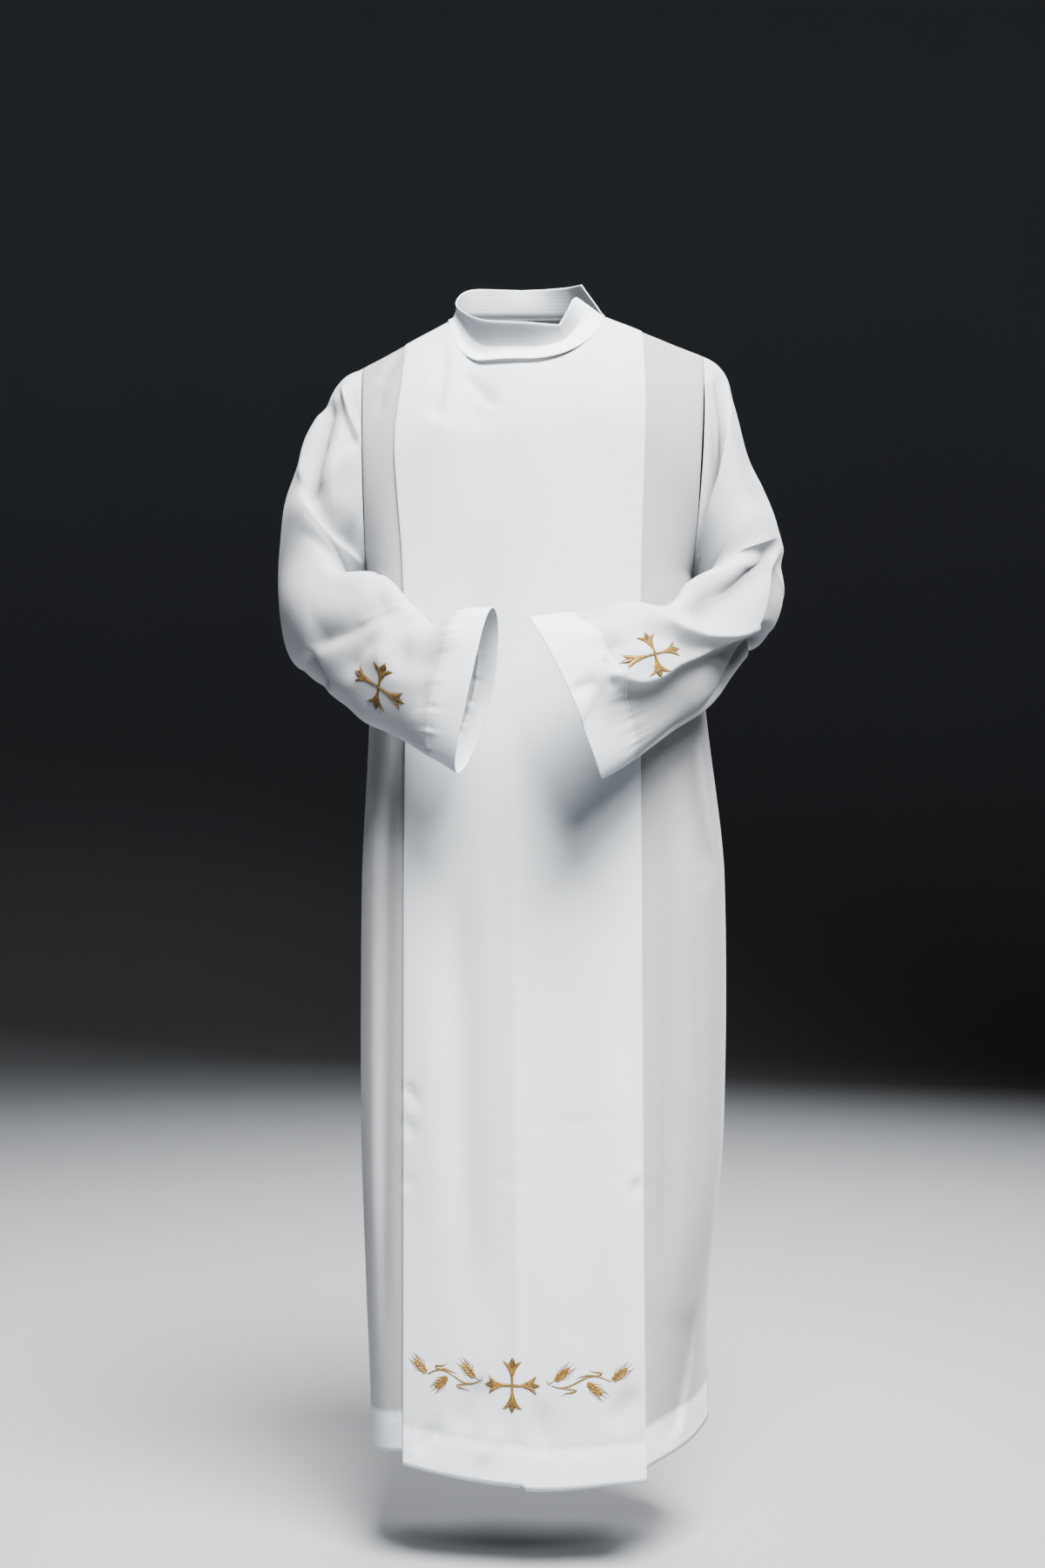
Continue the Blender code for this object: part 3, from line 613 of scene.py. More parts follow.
def frontRows(rowValues):
    rows = []
    underShares = [cut["foldMiddle"] + (cut["foldEdge"] - cut["foldMiddle"]) * k / front["underSteps"]
                   for k in range(1, front["underSteps"])]
    panelShares = [cut["foldEdge"] * k / front["panelSteps"] for k in range(1, front["panelSteps"])]
    for row in rowValues:
        points = []
        for side in (-1, 1):
            edge = side * cut["foldEdge"]
            middle = side * cut["foldMiddle"]
            under = [side * share for share in underShares]
            panel = [side * share for share in panelShares]
            corner = pleatPoint(side, row, 2)
            plain = sidePoints(side, -1, row, corner, front["sideSteps"]) + [corner]
            pleated = [pleatPoint(p, row, 2) for p in reversed(under)]
            pleated += reversed(foldPoints(middle, row, 1, -side, front["foldSteps"]))
            pleated += [pleatPoint(p, row, 1) for p in under]
            pleated += reversed(foldPoints(edge, row, 0, side, front["foldSteps"]))
            pleated += [pleatPoint(p, row, 0) for p in reversed(panel)]
            strip = [(point, False) for point in plain] + [(point, True) for point in pleated]
            if side < 0:
                points += strip
                points.append((pleatPoint(0.0, row, 0), True))
            else:
                points += reversed(strip)
        cells = []
        for column, (point, isPleat) in enumerate(points):
            if row == rowValues[0] and not isPleat:
                point = raisedToSeam(point)
            pull = sewnPull(fromHemLine(row), point.x) * ease((cut["sideSeamY"] - point.y) / cut["pullCalm"])
            pull -= armholeDitch(row, min(column, len(points) - 1 - column) / front["sideSteps"])
            cells.append(Cell(point, outwardAt(point, -1), toneOf(row, isPleat), pull))
        rows.append(cells)
    return rows


# Back: one plain piece
back = {"sideSteps": 18, "panelSteps": 34, "foldDepth": 1.3, "calmDrop": 0.010, "calmGrowth": 0.060,
        "sideCalm": 0.05}
backCreases = [Crease(*row) for row in (
    (-4.0, 16, 20, 120, ((-70, -180), (-80, -330), (-60, -560))),
    (-4.5, 18, 14, 120, ((86, -170), (92, -340), (74, -600))),
    (3.5, 22, 22, 140, ((10, -240), (4, -460), (12, -760))),
    (-3.6, 12, 12, 40, ((-196, -150), (-160, -190), (-120, -260))),
    (-3.6, 12, 12, 40, ((210, -140), (176, -190), (132, -270))),
    (-5.0, 16, 20, 160, ((-120, -700), (-126, -1000), (-118, -1430))),
    (-5.5, 20, 15, 160, ((20, -800), (26, -1100), (34, -1440))),
    (4.5, 18, 18, 160, ((76, -760), (84, -1060), (92, -1440))),
    (-4.5, 13, 16, 160, ((150, -640), (158, -980), (160, -1430))),
    (-0.6, 3.5, 3.5, 40, ((-150, -1040), (0, -1036), (150, -1042))),
    (-0.5, 3.5, 3.5, 40, ((-150, -700), (0, -704), (150, -698))),
)]


def backRows(rowValues):
    rows = []
    half = [k / back["panelSteps"] for k in range(back["panelSteps"] + 1)]
    shares = [-share for share in reversed(half)] + half[1:]
    for row in rowValues:
        across = []
        for p in shares:
            topZ = bodyPoint(1, p, 0.0, 1.0).z
            across.append(bodyPoint(1, p, 0.0, rowHeight(row, topZ, cut["hemZBack"])))
        points = sidePoints(-1, 1, row, across[0], back["sideSteps"])
        points += across
        points += reversed(sidePoints(1, 1, row, across[-1], back["sideSteps"]))
        cells = []
        for point in points:
            pull = sewnPull(fromHemLine(row), point.x) * ease((point.y - cut["sideSeamY"]) / cut["pullCalm"])
            cells.append(Cell(point, outwardAt(point, 1), toneOf(row, False), pull))
        rows.append(cells)
    return rows


# Sleeves: each a tube from the armhole to the cuff, through rings given in mm. The first four rings are
# given by their top, front, bottom and back points, the others by their upper, outer, lower and inner ones
shoulderRings = 4
sleeveRings = {
    -1: (
        ((-230, 0, -80), (-220, -88, -208), (-207, 0, -340), (-222, 96, -212)),
        ((-261, 0, -132), (-236, -94, -230), (-210, 0, -348), (-242, 102, -250)),
        ((-284, 0, -190), (-248, -97, -256), (-211, 0, -356), (-256, 104, -290)),
        ((-304, 0, -252), (-258, -98, -276), (-211, 0, -362), (-266, 100, -340)),
        ((-226, -88, -330), (-297, -62, -305), (-294, 50, -426), (-212, 12, -392)),
        ((-214, -112, -336), (-286, -96, -368), (-274, -10, -456), (-208, -36, -404)),
        ((-167, -160, -346), (-224, -172, -424), (-212, -112, -502), (-168, -108, -424)),
        ((-131, -200, -390), (-176, -214, -462), (-159, -165, -534), (-120, -152, -462)),
        ((-100, -225, -407), (-139, -245, -484), (-118, -203, -559), (-82, -183, -482)),
        ((-70, -240, -391), (-104, -268, -478), (-104, -225, -568), (-58, -200, -478)),
        ((-34, -250, -390), (-62, -280, -482), (-77, -240, -584), (-37, -212, -490)),
    ),
    1: (
        ((250, 0, -67), (239, -90, -200), (225, 0, -340), (242, 96, -208)),
        ((276, 0, -122), (252, -95, -228), (227, 0, -348), (258, 102, -246)),
        ((294, 0, -182), (264, -98, -255), (228, 0, -356), (270, 105, -290)),
        ((318, 0, -250), (276, -99, -276), (229, 0, -362), (284, 102, -340)),
        ((248, -88, -330), (326, -50, -305), (314, 50, -398), (234, 14, -386)),
        ((240, -112, -338), (314, -92, -335), (302, -14, -430), (234, -36, -404)),
        ((215, -142, -352), (270, -152, -405), (258, -92, -474), (209, -88, -422)),
        ((176, -172, -380), (232, -190, -444), (216, -140, -513), (164, -130, -446)),
        ((126, -204, -379), (184, -226, -458), (176, -180, -538), (122, -166, -458)),
        ((62, -240, -392), (124, -262, -476), (134, -216, -568), (80, -196, -474)),
        ((8, -266, -400), (56, -292, -492), (95, -248, -592), (56, -226, -486)),
    ),
}
sleeves = {
    "armholeGap": 0.0006,
    "ringPoints": 176,
    "spans": (22, 22, 22, 22, 30, 26, 30, 26, 22, 20, 18),
    "shoulderTurn": 135,
    "hemRowStep": 0.0024,
    "roundStep": 0.0027,
    "foldDepth": 1.3,
    "frontSide": (0.40, 0.35),  # creases run out from this outward y on, over this much of it
    "frontWeights": (1.0, 0.1, 1.0),
    "backWeights": (1.0, 0.3, 1.0),
    "armholeX": (0.199, 0.218),
    "seamCalm": 0.012,          # nothing moves at the armhole seam, except where the sleeve comes forward
    "forward": (0.100, 0.020),
}
rightCreases = [Crease(*row) for row in (
    # rolled ridge below the shoulder tip
    (5.5, 5, 6, 8, ((-228, -35, -89), (-224, -60, -111), (-218, -68, -133), (-209, -77, -157),
        (-198, -77, -181)), 4.0),
    (-4.5, 6, 5, 10, ((-216, -47, -94), (-211, -61, -114), (-206, -69, -134), (-200, -74, -155))),
    # valley and roll down the outside of the upper arm
    (-11.0, 15, 8, 20, ((-239, -37, -103), (-246, -45, -120), (-253, -71, -161), (-260, -84, -201),
        (-263, -91, -231), (-265, -95, -251))),
    (5.0, 5, 6, 22, ((-249, -23, -112), (-260, -42, -141), (-270, -51, -171), (-276, -65, -204),
        (-276, -66, -226))),
    (-4.0, 5, 5, 16, ((-248, -75, -161), (-257, -83, -195), (-262, -90, -224), (-264, -95, -249))),
    (-2.0, 14, 16, 40, ((-215, -84, -184), (-218, -87, -217), (-217, -84, -260))),
    (3.5, 12, 12, 40, ((-232, -83, -163), (-238, -93, -216), (-232, -92, -268))),
    # upper edge of the forearm, which comes out from under the upper arm
    (3.5, 22, 13, 14, ((-170, -153, -351), (-199, -46, -321), (-217, -69, -307), (-235, -91, -293),
        (-250, -97, -276), (-264, -97, -257), (-274, -87, -240), (-282, -72, -225)), 9),
    (2.5, 12, 8, 14, ((-98, -226, -409), (-115, -216, -399), (-128, -192, -388), (-137, -193, -381),
        (-148, -183, -368), (-159, -172, -356), (-174, -158, -345)), 3),
    # soft slope of the sleeve towards the elbow
    (-5.0, 26, 30, 60, ((-287, -78, -284), (-267, -107, -317), (-240, -127, -344), (-207, -162, -366),
        (-179, -186, -376))),
    # crease along the front of the elbow
    (-8.0, 12, 26, 10, ((-145, -187, -372), (-162, -200, -384), (-180, -198, -393), (-199, -190, -403),
        (-217, -178, -412), (-238, -157, -419), (-257, -129, -424), (-272, -100, -425))),
    # small loop at the wrist end of that crease
    (2.0, 4, 5, 16, ((-210, -182, -403), (-189, -194, -394), (-172, -198, -386), (-161, -200, -383),
        (-148, -202, -385), (-133, -210, -394), (-116, -225, -404))),
    # folds that run from the loop to the cuff
    (-3.0, 7, 9, 30, ((-166, -218, -427), (-154, -220, -412), (-133, -221, -403), (-112, -225, -404),
        (-88, -254, -414))),
    (-5.0, 14, 22, 34, ((-162, -215, -412), (-177, -209, -420), (-192, -201, -432), (-202, -193, -444),
        (-209, -182, -460), (-209, -174, -481))),
    (-5.0, 16, 16, 34, ((-130, -231, -413), (-138, -236, -430), (-144, -238, -448),
        (-146, -239, -477))),
    (-5.0, 20, 14, 34, ((-86, -264, -417), (-94, -267, -434), (-104, -265, -448), (-119, -258, -460),
        (-138, -246, -467))),
    (3.0, 12, 12, 34, ((-162, -219, -420), (-170, -218, -441), (-175, -215, -468))),
    (-3.0, 14, 14, 34, ((-113, -262, -464), (-119, -259, -495), (-130, -243, -525))),
    (-7.0, 3, 9, 14, ((-270, -102, -431), (-260, -111, -444), (-249, -121, -460), (-236, -124, -481))),
    (3.0, 22, 22, 40, ((-212, -161, -491), (-186, -166, -519), (-153, -190, -539))),
)]
leftCreases = [Crease(*row) for row in (
    # fold that stands in front of the armhole, with its hollow
    (5.0, 20, 10, 14, ((235, -13, -56), (248, -29, -71), (256, -31, -86), (259, -50, -105),
        (259, -68, -128), (255, -82, -154), (251, -90, -178), (248, -93, -196), (244, -93, -216),
        (238, -90, -239), (234, -82, -262), (229, -70, -284), (225, -55, -303), (216, -37, -327),
        (198, -147, -361)), 11),
    (-5.5, 22, 22, 46, ((254, -16, -70), (270, -24, -100), (280, -36, -135), (287, -55, -181),
        (295, -82, -239), (310, -72, -270))),
    # deep fold across the elbow
    (5.0, 20, 15, 14, ((176, -165, -380), (187, -155, -371), (199, -149, -363), (208, -147, -357),
        (219, -146, -351), (230, -142, -346), (249, -126, -331), (264, -109, -319), (279, -96, -307),
        (296, -87, -298), (314, -69, -290), (326, -39, -287)), 13),
    (-5.0, 12, 14, 26, ((233, -155, -359), (258, -144, -346), (283, -123, -329), (308, -104, -317))),
    # fold down the back of the elbow, with the flap outside it
    (3.0, 14, 10, 14, ((282, -134, -411), (292, -121, -395), (300, -111, -380), (306, -103, -360),
        (313, -95, -339), (320, -74, -318), (326, -64, -295)), 7),
    # creases that meet at the inside of the elbow
    (3.0, 9, 16, 16, ((155, -201, -382), (165, -211, -392), (175, -212, -400), (188, -209, -407),
        (200, -204, -412), (223, -192, -418), (255, -169, -419), (280, -121, -412), (298, -121, -402),
        (318, -89, -387)), 11),
    # overhang along the forearm, from the cuff to the elbow, and the slope below it
    (2.0, 12, 27, 16, ((86, -275, -456), (101, -271, -463), (119, -265, -472), (143, -251, -477),
        (167, -236, -470), (187, -225, -457), (204, -211, -449), (222, -198, -442), (252, -165, -429),
        (282, -116, -415), (301, -115, -405), (324, -72, -389)), 14),
    (5.0, 18, 20, 30, ((119, -256, -435), (144, -245, -441), (172, -229, -433), (198, -209, -422))),
    # dents near the cuff
    (-4.5, 9, 12, 16, ((55, -292, -480), (65, -288, -484), (77, -283, -481), (92, -275, -469))),
    (-5.0, 6, 9, 14, ((92, -271, -446), (102, -269, -456), (106, -270, -470), (119, -265, -485))),
    (-5.0, 10, 9, 20, ((57, -268, -409), (74, -250, -396), (97, -240, -393), (116, -239, -399))),
    (-5.0, 14, 12, 26, ((119, -247, -414), (109, -261, -435), (102, -270, -458))),
    (3.0, 10, 10, 24, ((65, -274, -426), (86, -266, -423), (102, -262, -429))),
)]
rightBackCreases = [Crease(*row) for row in (
    (-6.0, 12, 12, 40, ((-230, 90, -170), (-250, 100, -240), (-258, 96, -320))),
    (-5.0, 10, 12, 40, ((-208, 60, -330), (-240, 70, -360), (-280, 46, -380))),
    (-4.5, 10, 10, 40, ((-280, 20, -300), (-286, 30, -350), (-280, 20, -420))),
    (-5.0, 12, 10, 40, ((-208, -40, -420), (-240, -20, -440), (-276, 10, -440))),
    (-4.0, 10, 12, 30, ((-150, -130, -440), (-130, -150, -480), (-134, -160, -520))),
)]
leftBackCreases = [Crease(*row) for row in (
    (-6.0, 12, 12, 40, ((250, 90, -166), (268, 100, -240), (274, 96, -320))),
    (-5.0, 10, 12, 40, ((228, 60, -330), (262, 70, -360), (300, 46, -370))),
    (-4.5, 10, 10, 40, ((300, 20, -290), (308, 30, -340), (300, 20, -396))),
    (-5.0, 12, 10, 40, ((232, -40, -420), (262, -24, -432), (300, 6, -414))),
    (-4.0, 10, 12, 30, ((190, -120, -430), (170, -140, -480), (170, -150, -510))),
)]
sleeveCreases = {-1: (rightCreases, rightBackCreases), 1: (leftCreases, leftBackCreases)}      # front, back


def ringPoint(ring, turn):
    a, b, c, d = (Vector(point) / 1000.0 for point in ring)
    twice = (a - b + c - d) / 4.0
    across = (a - c) / 2.0 * math.cos(turn) + (b - d) / 2.0 * math.sin(turn)
    return (a + b + c + d) / 4.0 + across + twice * math.cos(2 * turn)


def sleeveKeys(side):
    count = sleeves["ringPoints"]
    turns = [360.0 * k / count for k in range(count)]
    armhole = []
    for turn in turns:
        roundArm = (sleeves["shoulderTurn"] - turn) % 360.0
        facing = -1 if roundArm <= 180.0 else 1
        share = roundArm / 180.0 if facing < 0 else (360.0 - roundArm) / 180.0
        point = armholePoint(side, facing, share)
        point.x += side * sleeves["armholeGap"]
        armhole.append(point)
    keys = [armhole]
    for index, ring in enumerate(sleeveRings[side]):
        start, sense = (sleeves["shoulderTurn"], -1) if index < shoulderRings else (0, 1)
        keys.append([ringPoint(ring, math.radians(start + sense * turn)) for turn in turns])
    return keys


def sleeveRows(side):
    keys = sleeveKeys(side)
    rows = []
    spans = sleeves["spans"]
    for span, steps in enumerate(spans):
        for step in range(steps + (span == len(spans) - 1)):
            rows.append(rowBetween(keys, span, step / steps))
    if side > 0:
        rows = [list(reversed(row)) for row in rows]
    # outward directions from the rings next along and the points next round
    count = sleeves["ringPoints"]
    grid = np.array([[point[:] for point in row] for row in rows])
    along = np.gradient(grid, axis=0)
    around = np.roll(grid, -1, axis=1) - np.roll(grid, 1, axis=1)
    outward = np.cross(around, along)
    outward /= np.linalg.norm(outward, axis=2)[:, :, None]
    hemStart = len(rows) - spans[-1]
    cells = []
    for rowIndex, row in enumerate(rows):
        value = tone["hem"] if rowIndex >= hemStart else tone["sleeve"]
        distance = (hemStart - rowIndex) * sleeves["hemRowStep"]
        line = []
        for k in range(count + 1):
            pull = sewnPull(distance, (k % count) * sleeves["roundStep"])
            line.append(Cell(row[k % count], Vector(outward[rowIndex, k % count]), value, pull))
        cells.append(line)
    return cells


def sleeveRelief(side):
    def relief(places, outward):
        # creases of the front side stay off the side turned to the body, and the other way about
        limit, run = sleeves["frontSide"]
        facing = easeAll((limit - outward[:, 1]) / run)
        frontSide, backSide = sleeveCreases[side]
        heights = creaseHeights(places, frontSide, sleeves["frontWeights"]) * facing
        heights += creaseHeights(places, backSide, sleeves["backWeights"]) * (1.0 - facing)
        fromSeam = np.abs(places[:, 0]) - sleeves["armholeX"][side > 0]
        reach, growth = sleeves["forward"]
        calm = np.maximum(easeAll(fromSeam / sleeves["seamCalm"]), easeAll((-places[:, 1] - reach) / growth))
        return (sleeves["foldDepth"] * heights + slowHeights(places, "sleeve")) * calm
    return relief


# Collar: a stand open at the wearer's left shoulder, its top edge by turn round the neck, mm
CollarPoint = namedtuple("CollarPoint", "turn topX topY topZ waist")
collarPoints = [CollarPoint(*row) for row in (
    (0, 70, -8, 24, 0),
    (22, 63, -31, 16, -4),
    (45, 48, -60, -17, -9),
    (52, 43, -67, -21, -10),
    (90, 4, -83, -21, -13),
    (130, -49, -72, -16, -12),
    (155, -76, -42, 0, -8),
    (180, -84, -2, 20, -3),
    (215, -66, 34, 42, -1),
    (270, 0, 62, 47, -2),
    (320, 52, 42, 46, -1),
    (360, 76, 6, 43, 0),
)]
collar = {
    "thickness": 0.0014,
    "steps": 180,
    "rows": 18,
    "opening": 1.5,             # degrees from each end to the shoulder seam
    "lift": -0.0006,
    "flare": (0.008, 0.10, 0.5, 0.35),      # how far the foot stands off, up to which share of the height,
                                            # its easing and its lean towards the wearer's left
    "drop": (0.003, 0.14),      # how far the front of the foot hangs over the seam, up to which share
    "rollPlace": 0.86,          # power that sets how high up the waist lies
    "shadeFrom": (0.34, 0.14),  # painted shade on the band below its top edge, which faces down: where it starts, and over how much
    "shadeTo": (0.85, 0.15),
    "fullWaist": -9.0,          # mm, the waist at which all of that shade shows
    "stitchLift": 0.0003,
    "stitchColumns": (3, -3),
}


# Painted shade on the collar's band, by share of its height and by waist
def paintedBandShade(v, waist):
    start, growth = collar["shadeFrom"]
    end, fall = collar["shadeTo"]
    shade = ease((v - start) / growth) * (1.0 - 0.5 * ease((v - end) / fall))
    return shade * ease(waist / collar["fullWaist"])


def collarRows():
    rows = [[] for row in range(collar["rows"] + 1)]
    span = 360.0 - 2.0 * collar["opening"]
    for step in range(collar["steps"] + 1):
        turn = collar["opening"] + span * step / collar["steps"]
        index = 0
        while index < len(collarPoints) - 2 and turn > collarPoints[index + 1].turn:
            index += 1
        start, end = collarPoints[index:index + 2]
        t = (turn - start.turn) / (end.turn - start.turn)
        place = CollarPoint(*rowBetween(collarPoints, index, t))
        top = Vector((place.topX, place.topY, place.topZ)) / 1000.0
        base = neckPoint(turn)
        base.z += collar["lift"]
        outward = Vector((math.cos(math.radians(turn)), -math.sin(math.radians(turn)), 0.0))
        for row, line in enumerate(rows):
            v = row / collar["rows"]
            flare, flareReach, easing, lean = collar["flare"]
            drop, dropReach = collar["drop"]
            standOff = flare * (1.0 - easing * outward.x) * math.exp(-(v / flareReach) ** 2)
            roll = place.waist * math.sin(math.pi * v ** collar["rollPlace"])
            point = base.lerp(top, v) + outward * (roll / 1000.0)
            point += Vector((lean * outward.x, outward.y, 0.0)) * standOff
            point.z += drop * max(0.0, -outward.y) * math.exp(-(v / dropReach) ** 2)
            # the band's painted shade rides in the cell's hollow field
            line.append(Cell(point, outward, tone["pleatHem"], 0.0, paintedBandShade(v, place.waist)))
    return rows


# Gives a finished piece its material and body, and hides the nodes it replaces
def finish(piece, material, nodes):
    piece.data.materials.append(material)
    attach(piece, "root")
    if nodes:
        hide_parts(*nodes)
    return piece


def linear(hexColour):
    values = [int(hexColour[k:k + 2], 16) / 255.0 for k in (1, 3, 5)]
    return [v / 12.92 if v <= 0.04045 else ((v + 0.055) / 1.055) ** 2.4 for v in values] + [1.0]


# A Principled material with these inputs, its colour and bump linked from the sockets that build returns;
# build gets a function that adds a texture node and returns its outputs
def clothMaterial(name, values, build):
    material = bpy.data.materials.new(name)
    material.use_nodes = True
    tree = material.node_tree
    shader = tree.nodes["Principled BSDF"]
    for key, value in values.items():
        shader.inputs[key].default_value = value

    def add(kind, inputs, **settings):
        made = tree.nodes.new("ShaderNode" + kind)
        for key, value in settings.items():
            setattr(made, key, value)
        for key, value in inputs.items():
            if isinstance(value, bpy.types.NodeSocket):
                tree.links.new(value, made.inputs[key])
            else:
                made.inputs[key].default_value = value
        return made.outputs

    for key, socket in build(add).items():
        tree.links.new(socket, shader.inputs[key])
    return material


def mixed(add, factor, first, second):
    return add("Mix", {0: factor, 6: first, 7: second}, data_type="RGBA")[2]


def weaveNodes(add):
    layers = add("Attribute", {}, attribute_name="layers")["Fac"]
    hollow = add("Attribute", {}, attribute_name="hollow")["Fac"]
    uv = add("UVMap", {}, uv_map="cut")["UV"]
    place = add("TexCoord", {})["Object"]
    cloud = add("TexNoise", {"Vector": place, "Scale": 9.0, "Detail": 3.0})["Fac"]
    cloudShade = add("MapRange", {"Value": cloud, "To Min": 0.985, "To Max": 1.0})["Result"]
    base = mixed(add, layers, linear(clothLook["thin"]), linear(clothLook["thick"]))
    # warp and weft as two crossed sets of waves, which repeat every 2 pi / 20 at a scale of 1; slubs as
    # stretched noise
    wavesPerMetre = 1000.0 / clothLook["threadMm"]
    threads = {"Vector": uv, "Scale": wavesPerMetre / 20.0 * 3.1416, "Distortion": 0.4, "Detail": 1.0}
    warp = add("TexWave", threads, bands_direction="X")["Fac"]
    weft = add("TexWave", threads, bands_direction="Y")["Fac"]
    weave = add("Math", {0: warp, 1: clothLook["warpShare"], 2: weft}, operation="MULTIPLY_ADD")["Value"]
    stretched = add("Mapping", {"Vector": uv, "Scale": clothLook["slubScale"]})["Vector"]
    slub = add("TexNoise", {"Vector": stretched, "Scale": 1.0, "Detail": 2.0})["Fac"]
    slubShade = add("MapRange", {"Value": slub, "To Min": 0.93, "To Max": 1.02})["Result"]
    # painted shade in the creases and on the collar's band, carried by the attribute hollow
    paintedShade = add("MapRange", {"Value": hollow, "To Min": 1.0, "To Max": clothLook["paintedShade"]},
                      interpolation_type="SMOOTHSTEP")["Result"]
    grain = add("Math", {0: cloudShade, 1: slubShade}, operation="MULTIPLY")["Value"]
    shade = add("Math", {0: grain, 1: paintedShade}, operation="MULTIPLY")["Value"]
    colour = add("VectorMath", {0: base, "Scale": shade}, operation="SCALE")["Vector"]
    fine = add("Bump", {"Strength": 0.17, "Distance": 0.0004, "Height": weave})["Normal"]
    soft = add("Bump", {"Strength": 0.10, "Distance": 0.004, "Height": cloud, "Normal": fine})["Normal"]
    return {"Base Color": colour, "Normal": soft}


# Rayon embroidery thread wound with metal foil: half gloss, warm gold, browner in some strokes, and painted
# darker where a stroke turns away towards its edges, as shade
goldLook = {"gold": "#4F3505", "pale": "#A57C22", "bronzeAndShade": "#1F1406"}


def goldNodes(add):
    toneAndPaintedShade = add("Attribute", {}, attribute_name="shade")["Fac"]
    place = add("TexCoord", {})["Object"]
    fleck = add("TexNoise", {"Vector": place, "Scale": 640.0, "Detail": 2.0})["Fac"]
    glint = add("MapRange", {"Value": fleck, "From Min": 0.38, "From Max": 0.62})["Result"]
    warm = mixed(add, glint, linear(goldLook["gold"]), linear(goldLook["pale"]))
    bump = add("Bump", {"Strength": 0.25, "Distance": 0.0002, "Height": fleck})["Normal"]
    return {"Base Color": mixed(add, toneAndPaintedShade, warm, linear(goldLook["bronzeAndShade"])), "Normal": bump}


# Spun polyester sewing thread: round, matt and a little greyer than the cloth it sinks into
def sewingNodes(add):
    place = add("TexCoord", {})["Object"]
    ply = add("TexNoise", {"Vector": place, "Scale": 700.0})["Fac"]
    return {"Base Color": mixed(add, ply, linear("#C9CCD1"), linear("#E6E8EB"))}


white = clothMaterial("plain-weave polyester", {
    "Roughness": 0.78, "Specular IOR Level": 0.35, "Sheen Weight": 0.12, "Sheen Roughness": 0.45}, weaveNodes)
gold = clothMaterial("gold embroidery thread", {
    "Roughness": 0.38, "Metallic": 0.35, "Sheen Weight": 0.15}, goldNodes)
sewingThread = clothMaterial("spun polyester sewing thread", {"Roughness": 0.7}, sewingNodes)
print("materials made")

hemRows = 8                     # rows of cells down the hem of the front and of the back
frontCloth = clothSheet("frontCloth", list(reversed(frontRows(fineRows(52, 130, hemRows)))),
                        bodyRelief(-1, front, frontCreases, "front"))
finish(frontCloth, white, ["front"])
print("front made")
backCloth = clothSheet("backCloth", backRows(fineRows(44, 110, hemRows)),
                       bodyRelief(1, back, backCreases, "back"))
finish(backCloth, white, ["back"])
print("back made")
sleeveCloth = {}
for side, name, nodeName in ((-1, "sleeveRight", "sleeve_right"), (1, "sleeveLeft", "sleeve_left")):
    sleeveCloth[side] = clothSheet(name, list(reversed(sleeveRows(side))), sleeveRelief(side), closed=True)
    finish(sleeveCloth[side], white, [nodeName])
print("sleeves made")
collarCloth = clothSheet("collarCloth", collarRows(), lambda places, outward: slowHeights(places, "collar"),
                         collar["thickness"], collar["thickness"])
finish(collarCloth, white, ["collar"])
print("collar made")

# Machine stitching, metres
stitching = {"pitch": 0.0034, "length": 0.0025, "radius": 0.00024, "proud": 0.00052, "sides": 5}


# Short dashes of thread along a line of points on the cloth
def addStitches(bm, points, outwards):
    along = np.concatenate([[0.0], np.cumsum(np.linalg.norm(np.diff(points, axis=0), axis=1))])

    def lineAt(distance, values):
        return Vector([np.interp(distance, along, values[:, axis]) for axis in range(3)])

    for k in range(int(along[-1] / stitching["pitch"])):
        middle = (k + 0.5) * stitching["pitch"]
        ahead = lineAt(middle + 0.001, points) - lineAt(middle - 0.001, points)
        if ahead.length < 1e-6:
            continue
        turn = ahead.to_track_quat("Z", "Y").to_matrix().to_4x4()
        turn.translation = lineAt(middle, points) + lineAt(middle, outwards).normalized() * stitching["proud"]
        bmesh.ops.create_cone(bm, cap_ends=True, segments=stitching["sides"], radius1=stitching["radius"],
                              radius2=stitching["radius"], depth=stitching["length"], matrix=turn)


def stitchPiece(name, lines):
    bm = bmesh.new()
    for points, outwards in lines:
        addStitches(bm, points, outwards)
    return finish(newPiece(name, bm), sewingThread, [])


# One row of a sheet's grid
def gridRow(name, index):
    grid, outwards = sheetGrids[name]
    return grid[index], outwards[index]


# A column of the collar, lifted onto the face of its thicker cloth
def gridColumn(name, index):
    grid, outwards = sheetGrids[name]
    return grid[:, index] + outwards[:, index] * collar["stitchLift"], outwards[:, index]


# the grids of the front and the sleeves start at the hem, the back's ends there
frontHemIndex = hemRows
backHemIndex = -hemRows - 1
cuffHemIndex = sleeves["spans"][-1]
hemStitches = {
    "front": stitchPiece("frontHemStitches", [gridRow("frontCloth", frontHemIndex)]),
    "back": stitchPiece("backHemStitches", [gridRow("backCloth", backHemIndex)]),
    -1: stitchPiece("cuffStitchesRight", [gridRow("sleeveRight", cuffHemIndex)]),
    1: stitchPiece("cuffStitchesLeft", [gridRow("sleeveLeft", cuffHemIndex)]),
    "collar": stitchPiece("collarStitches",
                          [gridColumn("collarCloth", index) for index in collar["stitchColumns"]]),
}
print("stitches made")

